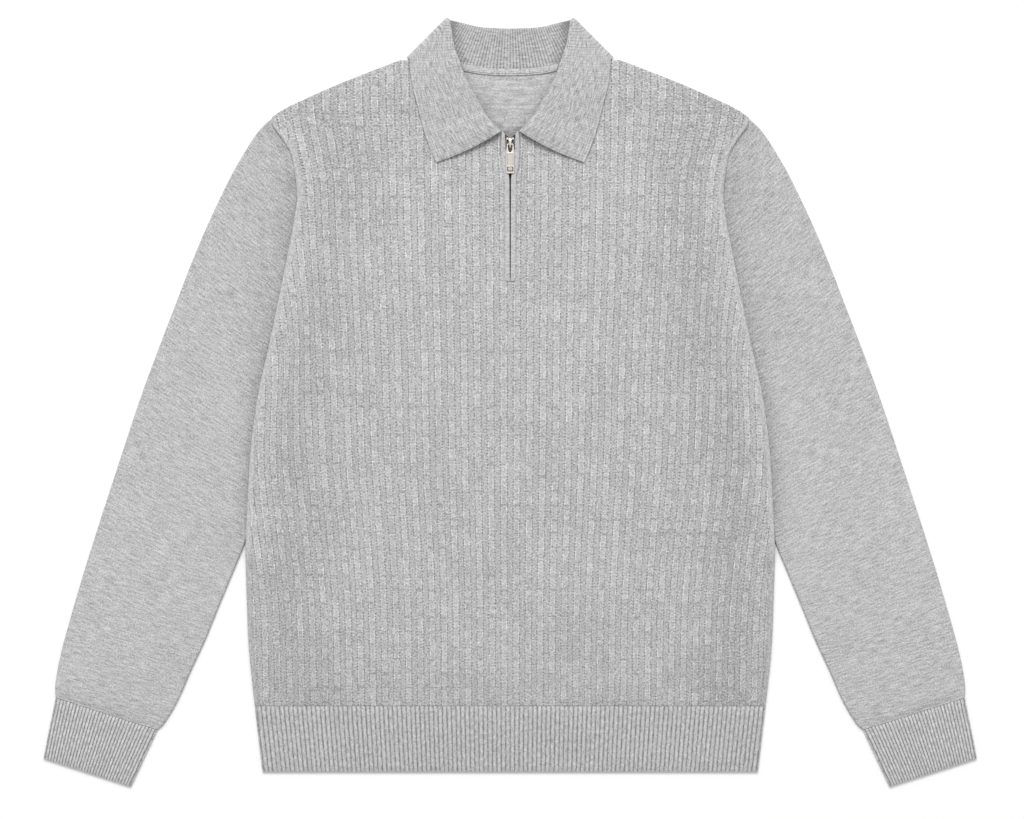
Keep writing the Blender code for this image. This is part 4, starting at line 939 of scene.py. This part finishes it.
def half_collar():
    """Both faces of one half: stations from the zip round to the middle of the back, points across.

    Across a station the band's middle runs straight from the seam to the fold, round a half circle,
    and on over the stand to the edge. Its out direction turns from up, at the front, round the
    crease to down, at the back.
    """
    counts = (84, 22, 54)  # stations before, round and behind the crease
    turn = np.concatenate([
        np.zeros(counts[0] - 1), np.linspace(0, math.pi, counts[1]), np.full(counts[2] - 1, math.pi)])
    lines = []
    for front_line, back_line in ((FRONT_FOLD, BACK_FOLD), (FRONT_SEAM, BACK_SEAM), (FRONT_EDGE, BACK_EDGE)):
        ahead, behind = along(front_line, counts[0]), along(back_line, counts[2])
        lines.append(np.concatenate([ahead[:-1], np.repeat(ahead[-1:], counts[1], axis=0), behind[1:]]))
    fold, seam, edge = lines
    run = np.gradient(fold, axis=0)
    square = np.stack([-run[:, 1], run[:, 0]], axis=1) * np.where(turn > 1, -1, 1)[:, None]
    crease = slice(counts[0] - 1, counts[0] + counts[1] - 1)
    square[crease] = (-math.cos(CREASE_TURN), math.sin(CREASE_TURN))
    square = unit(square)
    number = np.arange(len(turn))
    ahead = number / (counts[0] - 1)  # 0 at the zip, 1 at the crease
    wide = ROLL * ease(0.0, 0.10, ahead) * (1 - ease(0.62, 0.97, ahead)) * (turn == 0)
    wide = wide + 0.5 * ROLL * ease(8.0, 40.0, number - crease.stop)
    fold = fold - wide[:, None] * square
    sideways = np.array([math.sin(CREASE_TURN), math.cos(CREASE_TURN)])
    out = np.concatenate([np.sin(turn)[:, None] * sideways, np.cos(turn)[:, None]], axis=1)[:, None, :]
    bulge = np.concatenate([square, np.zeros((len(turn), 1))], axis=1)[:, None, :]
    radius = (FOLD_RADIUS + wide)[:, None, None]
    up = 2 * (wide * (turn > 1))[:, None, None] * out  # behind, the roll goes up and the leaf lies flat

    def flat(points):
        return np.concatenate([points, np.zeros(points.shape[:-1] + (1,))], axis=-1)

    t = np.linspace(0, 1, 15)[:-1, None]
    stand = flat(seam[:, None] + t * (fold - seam)[:, None]) + FOLD_RADIUS * out - t * t * up
    stand_normal = np.broadcast_to(-out, stand.shape)
    angle = np.linspace(0, math.pi, 13)[:, None]
    radial = -np.cos(angle) * out + np.sin(angle) * bulge
    bend = flat(fold[:, None]) + (FOLD_RADIUS + radius) * out + radius * radial - up
    t = np.concatenate([np.linspace(0, 0.97, 34), [0.985, 0.993, 1.0]])[1:, None]
    leaf = flat(fold[:, None] + t * (edge - fold)[:, None]) + 3 * FOLD_RADIUS * out
    front = (turn == 0)[:, None, None]
    easy = (1 - t) ** 1.3
    raised = 2 * wide[:, None, None] * easy * out * front
    corner = TIP_LIFT * (1 - ease(0.0, 0.34, ahead))[:, None, None] * (1 - ease(0.0, 0.95, t)) * out
    hang = 0.9 * np.sin(np.pi * t) * (1 - ease(0.6, 1.0, ahead))[:, None, None] * out
    leaf = leaf + raised + front * (corner + hang)
    down = unit(np.array([-(edge[0] - fold[0])[1], (edge[0] - fold[0])[0]]))
    bow = EDGE_BOW * 4 * t * (1 - t) * (1 - ease(0.0, 0.16, ahead))[:, None, None]
    leaf[..., :2] -= bow * down * front[..., :1]
    middle = np.concatenate([stand, bend, leaf], axis=1)
    normal = np.concatenate([stand_normal, radial, np.broadcast_to(out, leaf.shape)], axis=1)
    middle[..., 2] += CREASE_MIDDLE
    early = lift(middle[..., 1] + LEAF_EARLY) - LAYER + zip_lift(middle[..., 0], middle[..., 1], 20.0)
    middle[..., 2] += early * (number < counts[0] - 1)[:, None]
    tip = (TIP_LIFT * 0.8) * (1 - ease(0.0, 0.34, ahead))[:, None]
    bent = slice(stand.shape[1], stand.shape[1] + bend.shape[1])
    middle[:, bent, 2] += tip * np.linspace(0, 1, bend.shape[1]) * (turn == 0)[:, None]
    # how far each point is from the seam, measured half way round the front
    across = np.concatenate([[0], np.cumsum(np.linalg.norm(np.diff(middle[40], axis=0), axis=1))])
    thin = np.sqrt(1 - (1 - np.clip((across[-1] - across) / 1.4 + 0.08, 0.08, 1)) ** 2)[None, :, None]
    end = np.clip(number / 2.0 + 0.1, 0.1, 1)[:, None, None]
    half = WALL / 2 * thin * np.sqrt(1 - (1 - end) ** 2)
    passed = np.concatenate([[0], np.cumsum(np.linalg.norm(np.diff((fold + seam) / 2, axis=0), axis=1))])
    on = passed[-1] - passed[:, None]
    leaning = 0.68 * np.maximum(across - BAND_FOLD, 0.0) * np.clip((on[0] - on) / (on[0] - BAND_CREASE), 0, 1)
    plan = np.stack(np.broadcast_arrays(on + leaning, across[None, :]), axis=2)
    return middle + normal * half, middle - normal * half, plan


outer_face, inner_face, collar_plan = half_collar()
flip = np.array([-1, 1, 1])
outer_face = np.concatenate([outer_face * flip, outer_face[-2::-1]])
inner_face = np.concatenate([inner_face * flip, inner_face[-2::-1]])
collar_plan = np.concatenate([-collar_plan, collar_plan[-2::-1] * [1, -1]]) * [1, -1]
from_fold = through(*OPENING.T, outer_face[..., 1]) - np.abs(outer_face[..., 0])
behind = (np.abs(collar_plan[..., 0]) < BAND_CREASE) & (collar_plan[..., 1] < BAND_FOLD)
# painted shade on the stand behind the crease, beside the front's folds
collar = shell("collar_band", inner_face, outer_face, collar_plan, [collar_knit],
               shade=0.24 * ease(11.0, 0.0, from_fold) * behind)
fit(collar, "collar", "collar_knit", flat=(0.440, 0.110), held="folded", rests_on=[front])

# ---------------------------------------------------------------- neck tape and placket
# A strip of the sleeves' jersey covers the back neck seam, stitched along both edges. Two narrow
# turned strips of the body's knit hide the zip's tapes and teeth.
NECK_TAPE_LOW = np.array([(0.0, 316.6), (12.0, 316.8), (26.0, 317.8), (36.0, 319.2), (45.2, 321.2)])
NECK_TAPE_HIGH = np.array([(0.0, 323.2), (12.0, 323.4), (26.0, 324.4), (37.0, 326.2), (47.8, 328.6)])
STRIP_THICK = 1.0


def strip(name, first, second, base, material, swell=0.25, cord=0.0):
    """A narrow strip between two lines: a low arch across, with edges and ends rounded, and a row of
    stitches near each edge as a shallow groove. cord makes the first edge a thin raised roll."""
    near_edge = np.array([0, 0.03, 0.08, 0.14, 0.2, 0.26])
    t = np.concatenate([near_edge, np.linspace(0.34, 0.66, 5), 1 - near_edge[::-1]])
    plan = first[:, None] + t[:, None] * (second - first)[:, None]
    wide = np.linalg.norm(second - first, axis=1)[:, None]
    edge = np.minimum(t, 1 - t)[None, :] * wide
    ends = np.concatenate([[0], np.cumsum(np.linalg.norm(np.diff(first, axis=0), axis=1))])
    end = np.minimum(ends, ends[-1] - ends)[:, None] + 0.1
    high = base + STRIP_THICK + swell * (4 * t * (1 - t)) - 0.22 * bell(edge - 0.95, 0.3)
    high = high + cord * (bell(t * wide - 0.5, 0.45) - 0.8 * bell(t * wide - 1.25, 0.3))
    low, high = rounded(np.full_like(high, base), high, np.minimum(edge + 0.05, end), 0.7)
    cloth = np.stack(np.broadcast_arrays(ends[:, None], t[None, :] * wide), axis=2)
    return shell(name, *grids(plan[..., 0], plan[..., 1], low, high), cloth, [material])


def both_sides(points, count):
    half = along(points, count)
    return np.concatenate([half[:0:-1] * [-1, 1], half])


def gathered(u, v, tone, height):
    """Short nips across the tape where its stitches pull it in, dented and painted dark as painted shade, a
    light cord at its low edge, painted lighter as a painted highlight, and a painted shadow line under it.
    """
    nips = mottle(u / 3.4, v / 11.0)
    nips = near(nips, 0.5, 0.005, 0.05)
    cord = spots(v, 0.9, 1.3)
    # painted shadow just under the cord
    under = near(v, 1.45, 0.1, 0.4)
    tone = nips * -0.22 + (cord * 0.2 + tone)
    return under * -0.45 + tone, nips * -0.4 + height


tape_jersey = heather("tape_jersey", GREY, [(3.0, 1.6, 0.8), (1.4, 1.3, 0.7)], gathered, bump=0.3)
tape_lines = both_sides(NECK_TAPE_LOW, 70), both_sides(NECK_TAPE_HIGH, 70)
tape = strip("neck_tape_strip", *tape_lines, 2 * LAYER, tape_jersey, cord=0.45)
fit(tape, "neck_tape", "sleeve_jersey", flat=(0.094, 0.010), held="laid", rests_on=[back], area=0.00066)
placket_y = np.linspace(PLACKET[0, 0], PLACKET[-1, 0], 120)
placket_inner, placket_outer = (np.interp(placket_y, PLACKET[:, 0], PLACKET[:, k]) for k in (1, 2))
for node, side in (("placket_right", -1), ("placket_left", 1)):
    lines = [np.stack([side * x, placket_y], axis=1) for x in (placket_inner, placket_outer)]
    swell = (0.15 + 0.55 * ease(243.0, 250.0, placket_y) - 0.9 * (1 - ease(118.0, 126.0, placket_y)))[:, None]
    piece = strip(node + "_strip", *lines, LAYER + ZIP_LIFT + LAYER, turned_knit, swell)
    fit(piece, node, "body_knit", flat=(0.010, 0.143), held="laid", rests_on=[front], area=0.00061)

# ---------------------------------------------------------------- zip
# Two woven tapes behind the slit with a row of metal teeth, painted near black as painted shade in the
# slit, on their facing edges, closed below the slider. Slider, bridge and pull tab are cast and plated
# in a warm light nickel, painted dark in the hollows as painted shade.
TAPE_INNER = 0.2
TAPE_HALF = 12.0
TAPE_ENDS = (119.0, 260.4)
TAPE_THICK = 0.8
TOOTH_PITCH = 1.35


def tape_weave(name):
    """Grey woven tape: two crossed waves over the place on the tape, bent to a chevron."""
    material, tree, shader = blank(name)
    u, v, _ = add(tree, "SeparateXYZ", {0: add(tree, "UVMap", uv_map="cloth")["UV"]})
    chevron = maths("PINGPONG", u, 1.6) * 0.9 + v
    wave = maths("SINE", chevron * (math.tau / 0.9))
    tone = add(tree, "MapRange", {"Value": wave, "From Min": -1.0, "To Min": 0.0, "To Max": 1.0})[0]
    tint(shader, tone, (0.035, 0.035, 0.037), (0.07, 0.07, 0.073))
    emboss(shader, tone, 0.0002, 1.0)
    shader.inputs["Roughness"].default_value = 0.8
    return material


def plated(name, colour, painted_shade_colour, roughness):
    """Cast metal with a thin plating: fine uneven gloss. The second coordinate of the piece's own map
    is 0 on the outside and 1 in the hollows, and turns its colour to the dark one: painted shade in the
    hollows."""
    material, tree, shader = blank(name)
    place = add(tree, "TexCoord")["Object"]
    grain = add(tree, "TexNoise", {"Vector": place, "Scale": 1400.0, "Detail": 3.0})["Fac"]
    blotch = add(tree, "TexNoise", {"Vector": place, "Scale": 260.0, "Detail": 2.0})["Fac"]
    gloss = add(tree, "MapRange", {"Value": blotch, "To Min": roughness - 0.08, "To Max": roughness + 0.12})[0]
    join(gloss, shader.inputs["Roughness"])
    hollow = add(tree, "SeparateXYZ", {0: add(tree, "UVMap", uv_map="cloth")["UV"]})[1]
    hollow = (blotch - 0.5) * 0.35 + hollow
    tint(shader, hollow, colour, painted_shade_colour)
    emboss(shader, grain, 0.00003, 0.5)
    shader.inputs["Metallic"].default_value = 1.0
    return material


nickel = plated("warm_nickel", (0.62, 0.585, 0.54), (0.09, 0.08, 0.07), 0.40)
# the teeth are painted near black, painted shade deep in the slit
painted_shade_tooth_metal = plated("tooth_metal_painted_as_shade", (0.06, 0.06, 0.062), (0.05, 0.05, 0.052), 0.5)
weave = tape_weave("zip_weave")
for node, side in (("zip_tape_right", -1), ("zip_tape_left", 1)):
    tape_y = np.linspace(*TAPE_ENDS, 60)
    lines = [np.stack([np.full(60, side * x), tape_y], axis=1) for x in (TAPE_INNER, TAPE_HALF)]
    t = np.linspace(0, 1, 14)
    plan = lines[0][:, None] + t[:, None] * (lines[1] - lines[0])[:, None]
    inside = np.minimum(np.minimum(t, 1 - t)[None, :] * (TAPE_HALF - TAPE_INNER),
                        np.minimum(tape_y - TAPE_ENDS[0], TAPE_ENDS[1] - tape_y)[:, None]) + 0.1
    # the upper ends are turned away from the opening, and leave a V above the slider
    turned_down = np.maximum(0, 4.6 - 0.9 * (np.abs(plan[..., 0]) - TAPE_INNER))
    plan[..., 1] -= turned_down * ease(250.0, TAPE_ENDS[1], plan[..., 1])
    low, high = rounded(np.full(inside.shape, LAYER), np.full(inside.shape, LAYER + TAPE_THICK), inside, 0.4)
    piece = shell(node + "_woven", *grids(plan[..., 0], plan[..., 1], low, high), plan, [weave])
    fit(piece, node, "zip_tape", flat=(0.0118, 0.1414), held="laid", rests_on=[back])

tooth_levels = np.array([(1.0, 1.0, 0.0), (1.0, 1.0, 0.65), (0.6, 0.7, 1.0)])
tooth_corners = np.array([(-1, -1), (1, -1), (1, 1), (-1, 1)])
tooth = np.concatenate([tooth_corners * level[:2] for level in tooth_levels])
tooth = np.concatenate([tooth * [0.5, 0.5], np.repeat(tooth_levels[:, 2:], 4, axis=0)], axis=1)
tooth_faces = [(3, 2, 1, 0), (8, 9, 10, 11)]
tooth_faces += [(k + i, k + (i + 1) % 4, k + 4 + (i + 1) % 4, k + 4 + i) for k in (0, 4) for i in range(4)]
tooth_y = np.arange(TAPE_ENDS[0] + 2.0, 242.0, TOOTH_PITCH)
tooth_at = np.stack([np.where(np.arange(len(tooth_y)) % 2, 0.08, -0.08), tooth_y,
                     np.full(len(tooth_y), LAYER + TAPE_THICK)], axis=1)
tooth_points = (tooth * [0.94, 1.0, 1.5] + tooth_at[:, None, :]).reshape(-1, 3)
all_faces = (np.array(tooth_faces)[None] + 12 * np.arange(len(tooth_y))[:, None, None]).reshape(-1, 4)
teeth = lay("zip_teeth", tooth_points, all_faces, tooth_points[all_faces][..., :2] * 0.0, [painted_shade_tooth_metal],
            np.zeros(len(all_faces), int), 30.0)
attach(teeth, "garment")

SLIDER_BASE = 3.2
SLIDER_TOP = 6.0
SLIDER = np.array([(242.8, 3.4), (246.0, 4.15), (254.6, 4.25), (255.8, 3.9), (256.6, 3.2)])  # y, half width
TAB_BASE = 6.6
TAB_TOP = 7.8
TAB = np.array([  # y, half width, half width of the plate's hollow, the window or the eye
    (221.4, 3.25, 3.05), (221.65, 3.75, 3.05), (222.2, 4.05, 3.05), (240.7, 4.05, 3.05), (242.1, 4.05, 0.5),
    (242.5, 4.05, 1.1), (243.3, 3.98, 1.6), (248.8, 3.4, 2.2), (249.25, 3.3, 1.9), (249.35, 3.3, 0.9),
    (250.55, 2.35, 0.9),
])
TAB_PLATE = (229.3, 240.6)
TAB_WINDOW = (223.3, 228.0)
TAB_EYE = (242.1, 249.25)
BRIDGE_ENDS = (256.4, 245.6)
BRIDGE_HALF = (1.95, 0.75)
BRIDGE_RISE = (5.5, 8.9)
BRIDGE_RINGS, BRIDGE_ROUND = 40, 20


def hollow(x, y, half, ends, depth, soft):
    """A flat-bottomed hollow in a plate: its depth over a rectangle with steep soft sides."""
    inside = np.minimum(half - np.abs(x), np.minimum(y - ends[0], ends[1] - y))
    return depth * ease(0.0, soft, inside)


y = np.linspace(SLIDER[0, 0], SLIDER[-1, 0], 60)[:, None]
t = np.concatenate([-np.array([1, 0.97, 0.92, 0.86, 0.78, 0.7, 0.6, 0.5, 0.35]), [0]])
t = np.concatenate([t, -t[-2::-1]])[None, :]
half = np.interp(y, *SLIDER.T)
x = t * half
inside = np.minimum(half - np.abs(x), np.minimum(y - SLIDER[0, 0], SLIDER[-1, 0] - y)) + 0.04
sunk = hollow(x, y, 3.7, (241.0, 254.4), 1.5, 0.5)
low, high = rounded(np.full(x.shape, SLIDER_BASE), SLIDER_TOP + 0.3 * (y > 254.3) - sunk, inside, 0.5)
# the hollow in the slider's top takes the painted shade colour
plan = np.stack([x, ease(0.1, 0.6, sunk) * 0.95], axis=2)
body = shell("slider_body", *grids(x, y, low, high), plan, [nickel])

s_along = np.linspace(0, 1, BRIDGE_RINGS)
rise = BRIDGE_RISE[0] + (BRIDGE_RISE[1] - BRIDGE_RISE[0]) * (1 - np.abs(2 * s_along - 1) ** 5) ** 0.6
path = np.stack([BRIDGE_ENDS[0] + s_along * (BRIDGE_ENDS[1] - BRIDGE_ENDS[0]), rise], axis=1)
ahead = unit(np.gradient(path, axis=0))
angle = np.linspace(0, math.tau, BRIDGE_ROUND + 1)[:-1]
ring_x = np.sign(np.cos(angle)) * np.abs(np.cos(angle)) ** 0.6
ring_n = 0.5 * np.sign(np.sin(angle)) * np.abs(np.sin(angle)) ** 0.6
size = np.where((s_along == 0) | (s_along == 1), 0.02, 1.0)[:, None]
wide = (BRIDGE_HALF[0] + (BRIDGE_HALF[1] - BRIDGE_HALF[0]) * s_along[:, None]) * size
off = size * ring_n
points = np.stack([wide * ring_x, path[:, :1] + off * ahead[:, 1:], path[:, 1:] - off * ahead[:, :1]], axis=2)
ring, start = np.arange(BRIDGE_ROUND), BRIDGE_ROUND * np.arange(BRIDGE_RINGS - 1)[:, None]
first, second = start + ring, start + (ring + 1) % BRIDGE_ROUND
faces = np.stack([first, second, second + BRIDGE_ROUND, first + BRIDGE_ROUND], axis=2).reshape(-1, 4)
# the whole bridge takes a little of the painted shade colour
bridge = lay("slider_bridge", points.reshape(-1, 3), faces, np.full(faces.shape + (2,), 0.12), [nickel],
             np.zeros(len(faces), int), 40.0)
fit(body, "slider", "zip_metal")
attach(bridge, "garment")

tab_rows = [np.linspace(TAB[0, 0], TAB[-1, 0], 130), TAB_EYE, TAB_PLATE, TAB_WINDOW]
y = np.unique(np.concatenate(tab_rows))[:, None]
half, inner = np.interp(y, *TAB[:, :2].T), np.interp(y, TAB[:, 0], TAB[:, 2])
t = np.array([0, 0.06, 0.16, 0.32, 0.5, 0.7, 0.86, 0.95, 1])
x = np.concatenate([inner + (1 - t) * (half - inner), inner * [0.93, 0.8, 0.5, 0.2]], axis=1)
x = np.concatenate([-x, x[:, ::-1]], axis=1)
in_eye = (y > TAB_EYE[0]) & (y < TAB_EYE[1])
to_end = np.minimum(np.abs(y - TAB_EYE[0]), np.abs(y - TAB_EYE[1]))
outside = np.hypot(np.maximum(np.abs(x) - 1.0, 0), to_end)
from_eye = np.where(in_eye, np.abs(x) - inner, outside)
inside = np.minimum(np.minimum(half - np.abs(x), from_eye), np.minimum(y - TAB[0, 0], TAB[-1, 0] - y)) + 0.04
deep = hollow(x, y, 3.15, TAB_PLATE, 0.3, 0.25) + hollow(x, y, 3.05, TAB_WINDOW, 0.8, 0.2)
low, high = rounded(np.full(x.shape, TAB_BASE), TAB_TOP - deep, np.maximum(inside, 0.04), 0.35)
corner = hollow(x, y, 3.05, TAB_WINDOW, 1.0, 0.05) - hollow(x, y - 0.5, 2.9, TAB_WINDOW, 1.0, 0.9)
# the plate and window take a little of the painted shade colour, and a painted shadow runs along the window's
# edges, most at its end towards the hem
plan = np.stack([x, 0.22 * ease(0.0, 0.3, deep) + 1.4 * np.maximum(corner, 0.0)], axis=2)
solid = np.ones((len(y) - 1, x.shape[1] - 1), bool)
solid[np.ix_(in_eye[:-1, 0] | in_eye[1:, 0], np.arange(8, x.shape[1] - 9))] = False
tab = shell("tab_of_the_pull", *grids(x, y, low, high), plan, [nickel], kept=solid)
fit(tab, "pull_tab", "zip_metal", body="pull")
